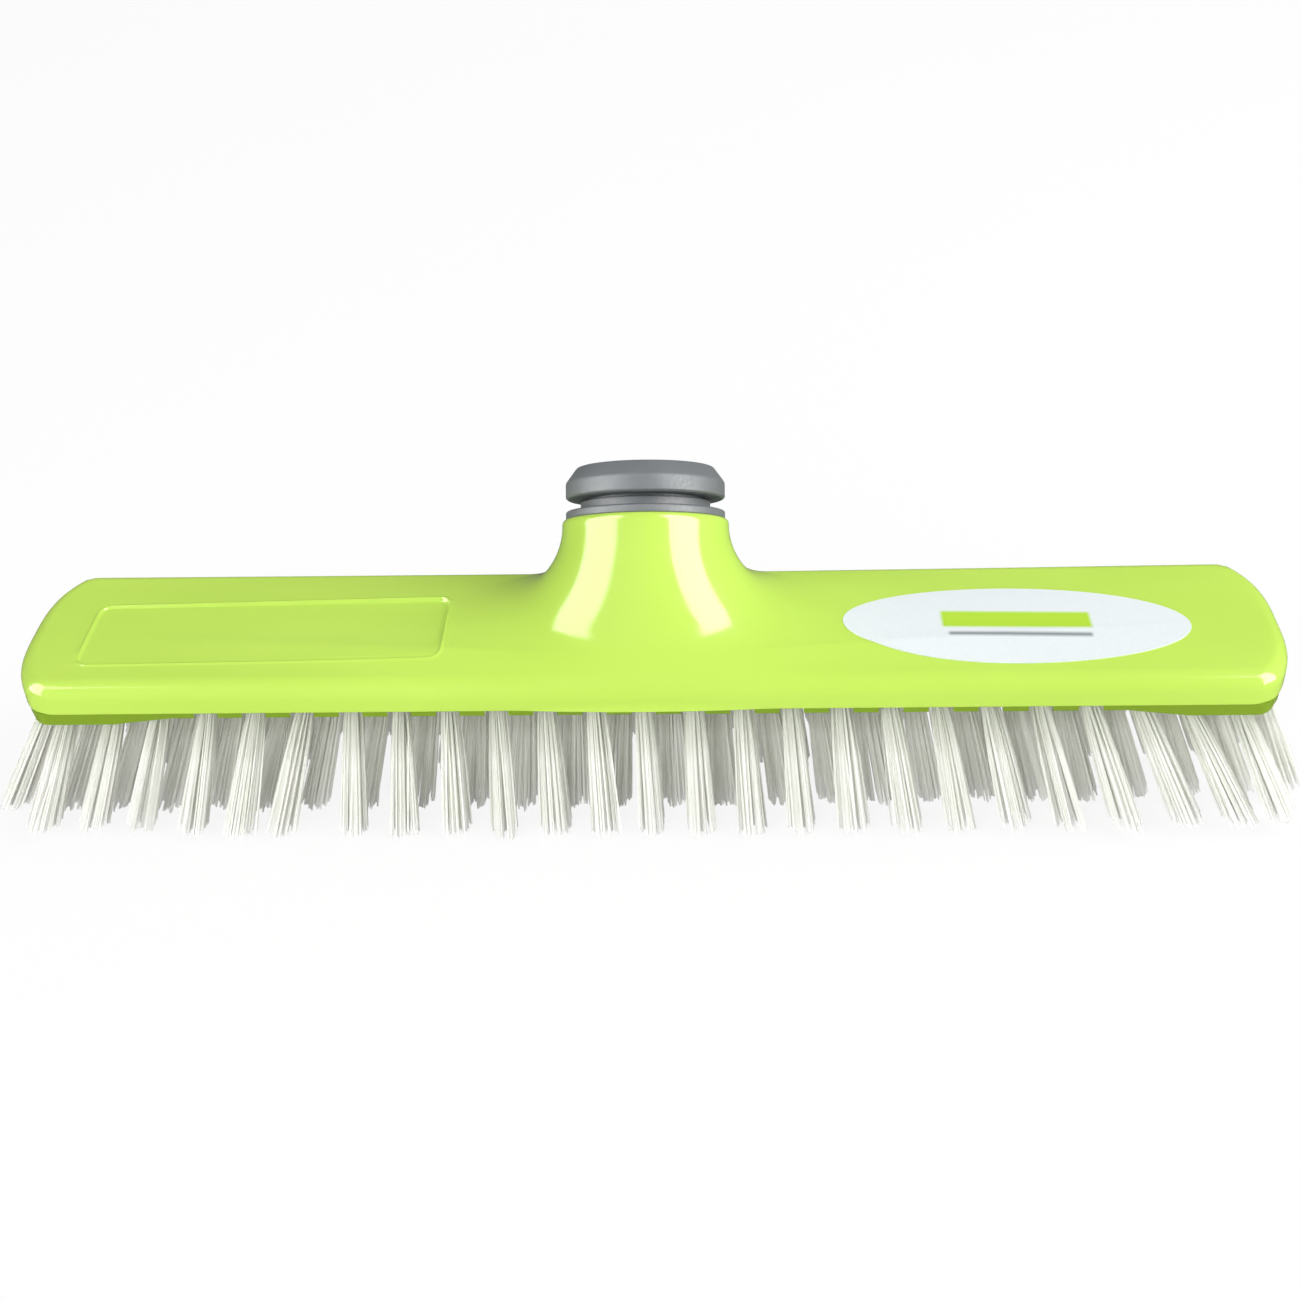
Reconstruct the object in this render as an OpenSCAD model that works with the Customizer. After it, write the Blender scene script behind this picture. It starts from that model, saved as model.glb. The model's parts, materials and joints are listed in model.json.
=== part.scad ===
// Floor scrubbing brush head: a long moulded cover with a flared, tilted neck, a grey socket
// insert for the handle, a tuft plate and five rows of bristle tufts that fan out at both ends.
// Millimetres, +Z up. The tuft tips stand on z = 0, the origin is the tip of the middle row's
// centre tuft, +X runs along the block and the neck leans back towards +Y.

/* [Block] */
// Length of the cover, end to end
block_l = 300; // [260:5:380]
// Width of the cover, front to back
block_w = 49; // [47:0.5:60]
// How far each end bulges out, seen from above
end_bulge = 7.4; // [3:0.2:9]
// Length of the rounding where an end meets a side
corner_cut = 2; // [1:0.25:4]
// Height of the cover's edge above its lip
cover_h = 7.75; // [6:0.25:12]
// Radius of the rounded top edge
edge_r = 4; // [1:0.25:4.5]
// Rise of the top surface from the ends to the middle
crown_h = 3.2; // [1:0.2:6]
// Thickness of the cover's side walls
skirt_t = 1.6; // [1.2:0.1:2.2]
// Thickness of the cover's roof
roof_t = 3.1; // [1.6:0.1:3.6]

/* [Panel] */
// Length of the shallow panel in the left wing
panel_l = 87; // [50:1:95]
// Width of the panel
panel_w = 24; // [10:1:30]
// Distance of the panel's middle beyond the middle of the left wing
panel_shift = 17; // [10:1:20]
// Distance of the panel's middle in front of the block's centre line
panel_y = 3.5; // [-5:0.5:6]
// Corner radius of the panel
panel_r = 3; // [1:0.5:6]
// Depth of the panel at its middle
panel_d = 0.7; // [0.5:0.1:1.2]
// How much of the top surface's slope the panel's floor follows
panel_follow = 0.6; // [0.4:0.1:1]

/* [Neck] */
// Outer radius of the neck at its rim
neck_r = 20.2; // [18.8:0.1:22]
// Lean of the neck, back from the vertical
neck_tilt = 38; // [30:1:42]
// Length of the neck along its axis, from the lip plane to its rim
neck_len = 31; // [29:0.5:40]
// How far the neck flares out to each side
flare_reach = 31; // [20:1:40]
// Length of neck over which the flare runs
flare_len = 21.4; // [15:0.2:26]

/* [Socket insert] */
// Radius of the flange and the ring
ring_r = 19.3; // [18:0.1:22]
// Radius of the sleeve and of the groove above the flange
sleeve_r = 15.7; // [14:0.1:17]
// Thickness of the flange that sits on the neck's rim
flange_t = 1.9; // [1:0.1:4]
// Width of the groove between the flange and the ring
groove_w = 2.8; // [1:0.1:5]
// Width of the ring
ring_w = 4.1; // [2:0.1:8]
// Height of the sloping nose above the ring
nose_h = 3.7; // [1:0.1:6]
// Radius of the nose at its top
nose_r = 16.6; // [14.5:0.1:17]
// Depth of the sleeve inside the neck
sleeve_l = 9.6; // [6:0.2:9.8]
// Radius of the narrow spigot below the sleeve
spigot_r = 12.6; // [12:0.1:13.4]
// Length of the spigot
spigot_l = 3.6; // [2:0.2:4]
// Radius of the handle bore, at the crest of its thread
bore_r = 10.6; // [9:0.1:11.2]
// Thickness of the floor under the handle bore
bore_floor = 1.6; // [1:0.1:3]

/* [Tuft plate] */
// Depth of the plate's rim below the cover's lip
rim_h = 3.1; // [2.6:0.1:5]
// Setback of the plate's rim from the cover's outline
rim_inset = 0.3; // [0:0.1:1]
// Depth of the step cut out of the rim along both long edges
relief_h = 1.7; // [0.5:0.1:2]
// Length of that step at its full depth
relief_l = 222; // [180:2:230]
// Length of the ramp that fades the step out at each end
ramp_l = 14; // [6:1:20]
// Width of that step
relief_w = 6.9; // [5:0.1:7.2]
// Radius of the notch in the rim in front of each outer tuft
notch_r = 3.6; // [2.8:0.1:4.2]
// Radius of each tuft hole
hole_r = 2.05; // [1.8:0.05:2.2]
// Depth of each tuft hole
hole_depth = 6.4; // [5:0.1:6.6]

/* [Tufts] */
// Height from the tuft tips to the cover's lip
trim_h = 36; // [25:1:60]
// Least distance of a long row's last tuft from the cover's end
end_space = 12.5; // [12.5:0.1:16]
// Spacing of the tufts along a row
tuft_pitch = 11.4; // [10.4:0.1:11.5]
// Distance of the front and rear rows from the cover's sides
row_inset = 4.1; // [3.9:0.1:4.9]
// Radius of a tuft where it leaves the plate
tuft_r = 2; // [1.6:0.05:2]
// Radius of a tuft at its tip
tip_r = 3.3; // [2.4:0.1:3.6]
// Outward lean of the last tuft of a row, along the block
fan_angle = 27; // [0:1:28]
// How much shorter a row's last tuft is trimmed than the middle one
end_rise = 3.9; // [0:0.1:5]
// Outward lean of the front and rear rows
outer_lean = 9; // [5:1:16]
// Outward lean of the rows beside the middle one
inner_lean = 8; // [0:1:12]

/* [Anchors and screws] */
// Length of a tuft anchor, across its hole
anchor_w = 3.8; // [3:0.1:3.9]
// Thickness of a tuft anchor
anchor_t = 0.4; // [0.3:0.05:0.6]
// Height of a tuft anchor
anchor_h = 1.6; // [1:0.1:2.5]
// Radius of a screw's head
head_r = 2.7; // [2.4:0.1:2.8]
// Height of a screw's head
head_h = 1.7; // [1.2:0.1:2]
// Radius of a screw's shank
shank_r = 1.2; // [1:0.05:1.4]
// Radius of the screw bosses inside the cover
boss_r = 3; // [2.6:0.1:3]
// Distance of the end screws from the cover's ends
screw_inset = 6.8; // [6.6:0.1:7]

/* [Label] */
// Length of the oval label
label_l = 81.5; // [50:0.5:88]
// Width of the oval label
label_w = 29; // [16:1:32]
// Distance of the label's middle beyond the middle of the right wing
label_shift = 12.5; // [9:0.5:16]
// Distance of the label's middle in front of the block's centre line
label_y = 4; // [-2:0.5:6]
// Turn of the label, clockwise seen from above
label_turn = 0; // [-4:0.5:4]
// Thickness of the label
label_t = 0.2; // [0.1:0.05:0.4]

/* [Hidden] */
$fn = 64;

green = "#c8ec62";
olive = "#7f9f2c";
grey = "#7d8285";
paper = "#eef4f6";
bristle = "#ecede6";
steel = "#b9bcc0";

// Clearances
fit_gap = 0.1;
boss_gap = 0.15;
sleeve_gap = 0.2;
slot_gap = 0.05;
label_gap = 0.03;
// Overrun of a cut past the face that it opens
over = 1;

// Levels
lip_z = trim_h;
rim_z = lip_z - rim_h;
relief_z = rim_z + relief_h;
roof_z = lip_z + cover_h - roof_t;
core_z = roof_z - fit_gap;
edge_z = lip_z + cover_h;

// The top surface: flat at the edges, rising to a ridge that is highest in the middle
ridge_l = block_l / 2 - edge_r;
ridge_w = block_w / 2 - edge_r;
function top_z(x, y) =
    edge_z + crown_h * max(0, 1 - abs(x) / ridge_l) * max(0, 1 - pow(y / ridge_w, 2));

// The plan outline, set in by "inset": one quarter from the end's tip to the start of the side
end_steps = 6;
corner_steps = 4;
side_steps = 24;
function bezier(a, b, c, t) = (1 - t) * (1 - t) * a + 2 * t * (1 - t) * b + t * t * c;
function end_point(inset, y) =
    [block_l / 2 - inset - end_bulge * pow(y / (block_w / 2 - inset), 3), y];
function quarter(inset) =
    let (
        w = block_w / 2 - inset,
        start = end_point(inset, w - corner_cut),
        corner = end_point(inset, w),
        stop = corner - [corner_cut, 0]
    )
    concat(
        [for (k = [0 : end_steps - 1]) end_point(inset, (w - corner_cut) * k / end_steps)],
        [for (k = [0 : corner_steps]) bezier(start, corner, stop, k / corner_steps)]
    );
function reversed(list) = [for (k = [len(list) - 1 : -1 : 0]) list[k]];
function mirror_x(list) = [for (p = list) [-p[0], p[1]]];
function mirror_y(list) = [for (p = list) [p[0], -p[1]]];
function inner_points(list) = [for (k = [1 : len(list) - 2]) list[k]];
function half_outline(inset) =
    let (q = quarter(inset), side_x = q[len(q) - 1][0], w = block_w / 2 - inset)
    concat(
        q,
        [for (k = [1 : side_steps - 1]) [side_x * (1 - 2 * k / side_steps), w]],
        reversed(mirror_x(q))
    );
function outline(inset) =
    let (rear = half_outline(inset)) concat(rear, reversed(inner_points(mirror_y(rear))));

// A closed skin over rings that all have the same even number of points. Each cap is made of
// strips between the points that face each other across the ring, so it may be crowned.
function cap_faces(first, n) = [
    for (i = [0 : n / 2 - 1])
        let (a = first + i, b = first + i + 1, c = first + n - i - 1, d = first + (n - i) % n)
        each [if (b != c) [a, b, c], if (a != d) [a, c, d]]
];
module skin(rings) {
    n = len(rings[0]);
    last = (len(rings) - 1) * n;
    sides = [
        for (j = [0 : len(rings) - 2], i = [0 : n - 1])
            let (a = j * n + i, b = j * n + (i + 1) % n)
            each [[a, a + n, b], [b, a + n, b + n]]
    ];
    polyhedron(
        points = [for (ring = rings) each ring],
        faces = concat(cap_faces(0, n), sides, [for (f = cap_faces(last, n)) reversed(f)])
    );
}

// The block: straight sides, a rounded top edge, then rings that shrink to the ridge line
round_steps = 4;
top_steps = 5;
ridge_shrink = 0.04;
function flat_ring(inset, z) = [for (p = outline(inset)) [p[0], p[1], z]];
function top_ring(t) = [
    for (p = outline(edge_r))
        let (x = p[0] * (1 - ridge_shrink * t), y = p[1] * (1 - (1 - ridge_shrink) * t))
        [x, y, top_z(x, y)]
];
module block_skin() {
    skin(concat(
        [flat_ring(0, lip_z)],
        [for (k = [0 : round_steps - 1])
            let (angle = 90 * k / round_steps)
            flat_ring(edge_r * (1 - cos(angle)), edge_z - edge_r * (1 - sin(angle)))],
        [for (k = [0 : top_steps]) top_ring(k / top_steps)]
    ));
}

// The neck: rings that start level in the block and end square to the neck's axis. Each ring
// keeps the tube's own section front and back, and widens to the sides as a quarter ellipse.
neck_points = 72;
neck_rings = 14;
neck_start = 0.4;
neck_square = neck_len - 1.5;
flare_start = neck_square - flare_len;
function ring_half_width(s) =
    let (level = min(1, max(0, (s - flare_start) / flare_len)), c = 1 - level)
    neck_r + flare_reach * (1 - sqrt(1 - c * c));
function neck_ring(s) =
    let (
        tilt = neck_tilt * min(1, (s - neck_start) / (neck_square - neck_start)),
        half_w = ring_half_width(s),
        half_d = neck_r / cos(neck_tilt - tilt)
    )
    [for (k = [0 : neck_points - 1])
        let (angle = 360 * k / neck_points, across = half_w * cos(angle), along = half_d * sin(angle))
        [across, s * sin(neck_tilt) + along * cos(tilt), lip_z + s * cos(neck_tilt) - along * sin(tilt)]];
module neck_skin() {
    step = (neck_square - neck_start) / neck_rings;
    skin(concat(
        [for (k = [0 : neck_rings]) neck_ring(neck_start + k * step)],
        [neck_ring(neck_len)]
    ));
}
// Places things on the neck's axis: z = 0 is the point s above the lip plane
module on_neck(s) {
    translate([0, 0, lip_z]) rotate([-neck_tilt, 0, 0]) translate([0, 0, s]) children();
}

// The panel and the label each have their place from the middle of their own wing
panel_x = block_l / 4 + panel_shift;
label_x = block_l / 4 + label_shift;

// Rounded rectangle as one polygon, centred
function corner_arc(l, w, r, turn) = [
    for (k = [0 : 6])
        let (angle = turn + 15 * k, sx = cos(turn + 45) > 0 ? 1 : -1, sy = sin(turn + 45) > 0 ? 1 : -1)
        [sx * (l / 2 - r) + r * cos(angle), sy * (w / 2 - r) + r * sin(angle)]
];
function rounded_rect(l, w, r) = [for (turn = [0, 90, 180, 270]) each corner_arc(l, w, r, turn)];
// The panel's floor slopes less than the ridge, so the panel is deeper near the neck
panel_slope = atan(crown_h / ridge_l) * panel_follow;
module panel_cut() {
    translate([-panel_x, -panel_y, top_z(panel_x, panel_y) - panel_d])
        rotate([0, -panel_slope, 0])
            linear_extrude(2 * over + crown_h) polygon(rounded_rect(panel_l, panel_w, panel_r));
}

// Screws: one at each end and one on each side of the block's middle, between two tufts
screw_x = [-block_l / 2 + screw_inset, -tuft_pitch / 2, tuft_pitch / 2, block_l / 2 - screw_inset];
boss_z = lip_z + 0.4;
seat_z = boss_z - 1.6;
screw_tip_z = roof_z + 0.6;
pilot_r = shank_r + 0.05;
module at_screws() {
    for (x = screw_x) translate([x, 0, 0]) children();
}

sleeve_end = neck_len - sleeve_l;
spigot_end = sleeve_end - spigot_l;
module cover() {
    color(green) {
        difference() {
            union() {
                block_skin();
                neck_skin();
            }
            translate([0, 0, lip_z - over]) linear_extrude(roof_z - lip_z + over)
                polygon(outline(skirt_t));
            on_neck(sleeve_end - sleeve_gap)
                cylinder(r = sleeve_r + sleeve_gap, h = sleeve_l + sleeve_gap + over);
            on_neck(spigot_end - sleeve_gap)
                cylinder(r = spigot_r + sleeve_gap, h = spigot_l + sleeve_gap + over);
            at_screws() translate([0, 0, roof_z - over])
                cylinder(r = pilot_r, h = screw_tip_z + fit_gap - roof_z + over);
            panel_cut();
        }
        at_screws() translate([0, 0, boss_z]) difference() {
            cylinder(r = boss_r, h = roof_z - boss_z);
            translate([0, 0, -over]) cylinder(r = pilot_r, h = roof_z - boss_z + 2 * over);
        }
    }
}

// Tuft rows, front to rear. The two inner rows sit half a pitch across and have one tuft more
row_count = 2 * floor((block_l / 2 - end_space) / tuft_pitch) + 1;
row_pitch = (block_w / 2 - row_inset) / 2;
row_lean = [-outer_lean, -inner_lean, 0, inner_lean, outer_lean];
row_y = [for (row = [-2 : 2]) row * row_pitch];
last_x = (row_count - 1) / 2 * tuft_pitch;
function tufts_in(row) = row_count + row % 2;
function tuft_x(row, i) = (i - (tufts_in(row) - 1) / 2) * tuft_pitch;
function is_outer(row) = row % 4 == 0;
// Height of a tuft's mouth: on the outer rows the rim's step fades out along its ramps
function ramp_share(x) = min(1, max(0, (relief_l / 2 + ramp_l - abs(x)) / ramp_l));
function mouth_z(row, x) = is_outer(row) ? rim_z + relief_h * ramp_share(x) : rim_z;
// Places things at a tuft's mouth, with +z into the hole and -z along the bristles
module at_tuft(row, i) {
    x = tuft_x(row, i);
    translate([x, row_y[row], mouth_z(row, x)])
        rotate([row_lean[row], -fan_angle * x / last_x, 0]) children();
}
module each_tuft(row) {
    for (i = [0 : tufts_in(row) - 1]) at_tuft(row, i) children();
}

rim_half_w = block_w / 2 - rim_inset;
// The step in the rim, seen from the front: as deep as relief_h, with a ramp at each end
function relief_profile() =
    let (flat = relief_l / 2, end = relief_l / 2 + ramp_l)
    [[-end, -over], [end, -over], [end, 0], [flat, relief_h], [-flat, relief_h], [-end, 0]];
module tuft_plate() {
    color(olive) difference() {
        union() {
            translate([0, 0, rim_z]) linear_extrude(rim_h) polygon(outline(rim_inset));
            translate([0, 0, lip_z - fit_gap]) linear_extrude(core_z - lip_z + fit_gap)
                polygon(outline(skirt_t + fit_gap));
        }
        for (side = [-1, 1]) {
            translate([0, side * (rim_half_w + over) + (over + relief_w) * (1 - side) / 2, rim_z])
                rotate([90, 0, 0]) linear_extrude(over + relief_w) polygon(relief_profile());
        }
        for (row = [0, 4], i = [0 : tufts_in(row) - 1]) {
            x = tuft_x(row, i);
            if (abs(x) < relief_l / 2 - notch_r)
                translate([x, sign(row_y[row]) * (rim_half_w - notch_r / 2 - 0.5), relief_z - over])
                    cylinder(r = notch_r, h = over + rim_h - relief_h - fit_gap);
        }
        for (row = [0 : 4])
            each_tuft(row) translate([0, 0, -2]) cylinder(r = hole_r, h = hole_depth + 2);
        at_screws() {
            translate([0, 0, rim_z - over]) cylinder(r = head_r + boss_gap, h = seat_z - rim_z + over);
            translate([0, 0, seat_z - over]) cylinder(r = shank_r + boss_gap, h = boss_z - seat_z + 2 * over);
            translate([0, 0, boss_z - fit_gap]) cylinder(r = boss_r + boss_gap, h = core_z - boss_z + over);
        }
    }
}

// Socket insert, as one turned profile
ring_round = 0.7;
bore_chamfer = 1;
insert_top = flange_t + groove_w + ring_w + nose_h;
bore_l = insert_top + sleeve_l + spigot_l - bore_floor;
function insert_profile() =
    let (ring_z = flange_t + groove_w, ring_top = ring_z + ring_w)
    [
        [0, -sleeve_l - spigot_l], [spigot_r, -sleeve_l - spigot_l], [spigot_r, -sleeve_l],
        [sleeve_r, -sleeve_l], [sleeve_r, 0], [ring_r, 0],
        [ring_r, flange_t - ring_round], [ring_r - ring_round, flange_t], [sleeve_r, flange_t],
        [sleeve_r, ring_z], [ring_r - ring_round, ring_z], [ring_r, ring_z + ring_round],
        [ring_r, ring_top], [nose_r, ring_top + nose_h], [bore_r + bore_chamfer, ring_top + nose_h],
        [bore_r, ring_top + nose_h - bore_chamfer], [bore_r, insert_top - bore_l], [0, insert_top - bore_l]
    ];
module socket_insert() {
    color(grey) on_neck(neck_len) rotate_extrude() polygon(insert_profile());
}

// Label: an oval sheet that lies on the crowned top surface
label_rings = 4;
label_points = 48;
function label_ring(scale, lift) = [
    for (k = [0 : label_points - 1])
        let (
            angle = 360 * k / label_points,
            u = scale * label_l / 2 * cos(angle),
            v = scale * label_w / 2 * sin(angle),
            x = label_x + u * cos(label_turn) + v * sin(label_turn),
            y = -label_y - u * sin(label_turn) + v * cos(label_turn)
        )
        [x, y, top_z(x, y) + label_gap + lift]
];
module label() {
    color(paper) skin(concat(
        [for (k = [1 : label_rings]) label_ring(k / label_rings, 0)],
        [for (k = [label_rings : -1 : 1]) label_ring(k / label_rings, label_t)]
    ));
}

// One tuft: a round bundle in its hole, spreading to the trimmed tip, slotted for its anchor
anchor_z = hole_depth - fit_gap - 2 * anchor_h;
tuft_reach = 1.3 * mouth_z(0, 0);
reach_r = tuft_r + (tip_r - tuft_r) * tuft_reach / mouth_z(0, 0);
module tuft() {
    difference() {
        rotate_extrude($fn = 24) polygon([
            [0, -tuft_reach], [reach_r, -tuft_reach], [tuft_r, 0],
            [tuft_r, hole_depth - fit_gap], [0, hole_depth - fit_gap]
        ]);
        translate([-hole_r, -anchor_t / 2 - slot_gap, anchor_z - slot_gap])
            cube([2 * hole_r, anchor_t + 2 * slot_gap, anchor_h + 2 * slot_gap]);
    }
}
// Each tuft is trimmed level, on a curve that rises from z = 0 in the middle to the row's ends
function trim_z(x) = end_rise * pow(x / last_x, 2);
module tuft_row(row) {
    color(bristle) for (i = [0 : tufts_in(row) - 1]) intersection() {
        at_tuft(row, i) tuft();
        translate([-block_l, -block_w * 2, trim_z(tuft_x(row, i))])
            cube([2 * block_l, 4 * block_w, lip_z + cover_h]);
    }
}
module anchor_row(row) {
    color(steel) each_tuft(row) translate([-anchor_w / 2, -anchor_t / 2, anchor_z])
        cube([anchor_w, anchor_t, anchor_h]);
}

drive_w = 0.6;
module plate_screw() {
    difference() {
        union() {
            translate([0, 0, seat_z - head_h]) cylinder(r = head_r, h = head_h);
            translate([0, 0, seat_z - fit_gap]) cylinder(r = shank_r, h = screw_tip_z - seat_z + fit_gap);
        }
        for (turn = [0, 90])
            translate([0, 0, seat_z - head_h - over]) rotate([0, 0, turn])
                translate([-head_r * 0.6, -drive_w / 2, 0])
                    cube([head_r * 1.2, drive_w, head_h / 2 + over]);
    }
}
module plate_screws() {
    color(steel) at_screws() plate_screw();
}

cover();
tuft_plate();
socket_insert();
label();
tuft_row(0);  // front_tufts
tuft_row(1);  // front_inner_tufts
tuft_row(2);  // middle_tufts
tuft_row(3);  // rear_inner_tufts
tuft_row(4);  // rear_tufts
anchor_row(0);  // front_anchors
anchor_row(1);  // front_inner_anchors
anchor_row(2);  // middle_anchors
anchor_row(3);  // rear_inner_anchors
anchor_row(4);  // rear_anchors
plate_screws();
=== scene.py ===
"""Scrubbing brush head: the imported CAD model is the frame, and this script gives it its looks.

Lengths are millimetres until a mesh is written, and the axes are the CAD model's: X along the
block, the neck leaning back towards +Y, the bristle tips on z = 0.
"""

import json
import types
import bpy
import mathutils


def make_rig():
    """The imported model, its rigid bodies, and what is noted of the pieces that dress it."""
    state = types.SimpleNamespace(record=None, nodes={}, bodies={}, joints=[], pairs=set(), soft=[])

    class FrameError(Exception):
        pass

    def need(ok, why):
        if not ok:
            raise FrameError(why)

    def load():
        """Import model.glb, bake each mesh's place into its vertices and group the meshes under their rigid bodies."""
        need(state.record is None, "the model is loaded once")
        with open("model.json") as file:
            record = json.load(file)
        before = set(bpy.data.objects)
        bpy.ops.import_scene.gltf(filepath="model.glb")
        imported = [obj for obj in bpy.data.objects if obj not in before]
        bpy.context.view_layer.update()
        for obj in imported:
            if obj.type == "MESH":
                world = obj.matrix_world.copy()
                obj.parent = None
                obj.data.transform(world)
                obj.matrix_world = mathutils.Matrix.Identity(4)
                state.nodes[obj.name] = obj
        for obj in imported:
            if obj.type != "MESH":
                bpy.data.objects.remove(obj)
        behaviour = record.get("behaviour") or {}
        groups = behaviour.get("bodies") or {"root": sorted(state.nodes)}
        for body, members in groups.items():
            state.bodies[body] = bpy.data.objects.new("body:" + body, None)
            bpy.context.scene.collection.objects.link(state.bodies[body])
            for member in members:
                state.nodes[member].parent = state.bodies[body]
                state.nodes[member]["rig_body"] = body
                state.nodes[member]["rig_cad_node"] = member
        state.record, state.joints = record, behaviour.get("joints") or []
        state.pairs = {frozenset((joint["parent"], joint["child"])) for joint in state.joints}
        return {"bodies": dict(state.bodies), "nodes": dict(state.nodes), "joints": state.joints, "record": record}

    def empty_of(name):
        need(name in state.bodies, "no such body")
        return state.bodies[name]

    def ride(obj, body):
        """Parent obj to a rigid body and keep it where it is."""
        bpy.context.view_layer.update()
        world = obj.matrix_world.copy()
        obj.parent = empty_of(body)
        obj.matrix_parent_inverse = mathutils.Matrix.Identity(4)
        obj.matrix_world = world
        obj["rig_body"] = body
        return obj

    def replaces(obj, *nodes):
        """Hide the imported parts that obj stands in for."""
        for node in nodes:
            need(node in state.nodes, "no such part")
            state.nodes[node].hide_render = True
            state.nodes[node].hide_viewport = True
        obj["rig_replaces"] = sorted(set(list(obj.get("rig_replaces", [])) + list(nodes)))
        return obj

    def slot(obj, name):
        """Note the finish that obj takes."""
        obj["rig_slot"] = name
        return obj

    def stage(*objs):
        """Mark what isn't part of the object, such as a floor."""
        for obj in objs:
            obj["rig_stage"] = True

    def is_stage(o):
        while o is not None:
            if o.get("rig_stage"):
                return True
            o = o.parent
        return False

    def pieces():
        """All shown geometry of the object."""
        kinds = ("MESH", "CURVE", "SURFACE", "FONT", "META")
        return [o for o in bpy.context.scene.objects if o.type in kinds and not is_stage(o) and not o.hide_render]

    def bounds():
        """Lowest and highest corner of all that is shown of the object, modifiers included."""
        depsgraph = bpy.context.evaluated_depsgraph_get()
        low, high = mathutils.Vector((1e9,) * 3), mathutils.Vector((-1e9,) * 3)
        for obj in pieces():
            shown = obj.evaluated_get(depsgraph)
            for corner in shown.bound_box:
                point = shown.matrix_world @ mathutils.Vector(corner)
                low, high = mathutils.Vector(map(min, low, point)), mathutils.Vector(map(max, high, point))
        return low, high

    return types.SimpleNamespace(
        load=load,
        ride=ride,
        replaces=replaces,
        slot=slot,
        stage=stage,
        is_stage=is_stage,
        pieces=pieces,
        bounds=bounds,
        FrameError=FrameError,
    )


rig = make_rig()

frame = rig.load()

import json
import logging
import math
from dataclasses import dataclass, field
from enum import Enum

import bmesh
import bpy
import numpy as np
from mathutils import Matrix, Vector
from mathutils.bvhtree import BVHTree

LOG = logging.getLogger("brush_head")
MM = 0.001


class Slot(Enum):
    """The record's material slots."""

    LIME = "lime_plastic"
    OLIVE = "olive_plastic"
    GREY = "grey_plastic"
    PAPER = "label_paper"
    BRISTLE = "bristle_plastic"
    ANCHOR = "anchor_steel"
    SCREW = "screw_steel"


# ---------------------------------------------------------------------------------- helpers


def linear(colour: str) -> tuple[float, float, float, float]:
    """Turn an sRGB hex colour into linear light.

    Args:
        colour: Six hex digits after a hash.

    Returns:
        Red, green, blue and an alpha of 1.
    """
    # The sRGB curve: a straight foot, then a power of 2.4
    shares = [int(colour[i:i + 2], 16) / 255 for i in (1, 3, 5)]
    red, green, blue = [s / 12.92 if s <= 0.04045 else ((s + 0.055) / 1.055) ** 2.4 for s in shares]
    return (red, green, blue, 1.0)


def add_node(tree: bpy.types.NodeTree, kind: str, settings: dict | None = None, **links) -> bpy.types.Node:
    """Add a shader node, set it up and wire its inputs.

    Args:
        tree: The node tree it goes into.
        kind: The node's type name, without "ShaderNode".
        settings: Properties of the node, or values of its inputs, by name or number.
        **links: What feeds an input, a socket or the first output in use of a node. The input goes
            by its name, with "_" for a space, or by "in" and its number.

    Returns:
        The new node.
    """
    node = tree.nodes.new("ShaderNode" + kind)
    for name, value in (settings or {}).items():
        if isinstance(name, str) and hasattr(node, name):
            setattr(node, name, value)
        else:
            node.inputs[name].default_value = value
    for name, source in links.items():
        if isinstance(source, bpy.types.Node):
            source = next(output for output in source.outputs if output.enabled)
        tree.links.new(source, node.inputs[int(name[2:]) if name[2:].isdigit() else name.replace("_", " ")])
    return node


def new_material(name: str) -> tuple[bpy.types.Material, bpy.types.NodeTree]:
    """Make a node material whose tree is empty.

    Args:
        name: Its name.

    Returns:
        The material and its tree.
    """
    material = bpy.data.materials.new(name)
    material.use_nodes = True
    material.node_tree.nodes.clear()
    return material, material.node_tree


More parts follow.
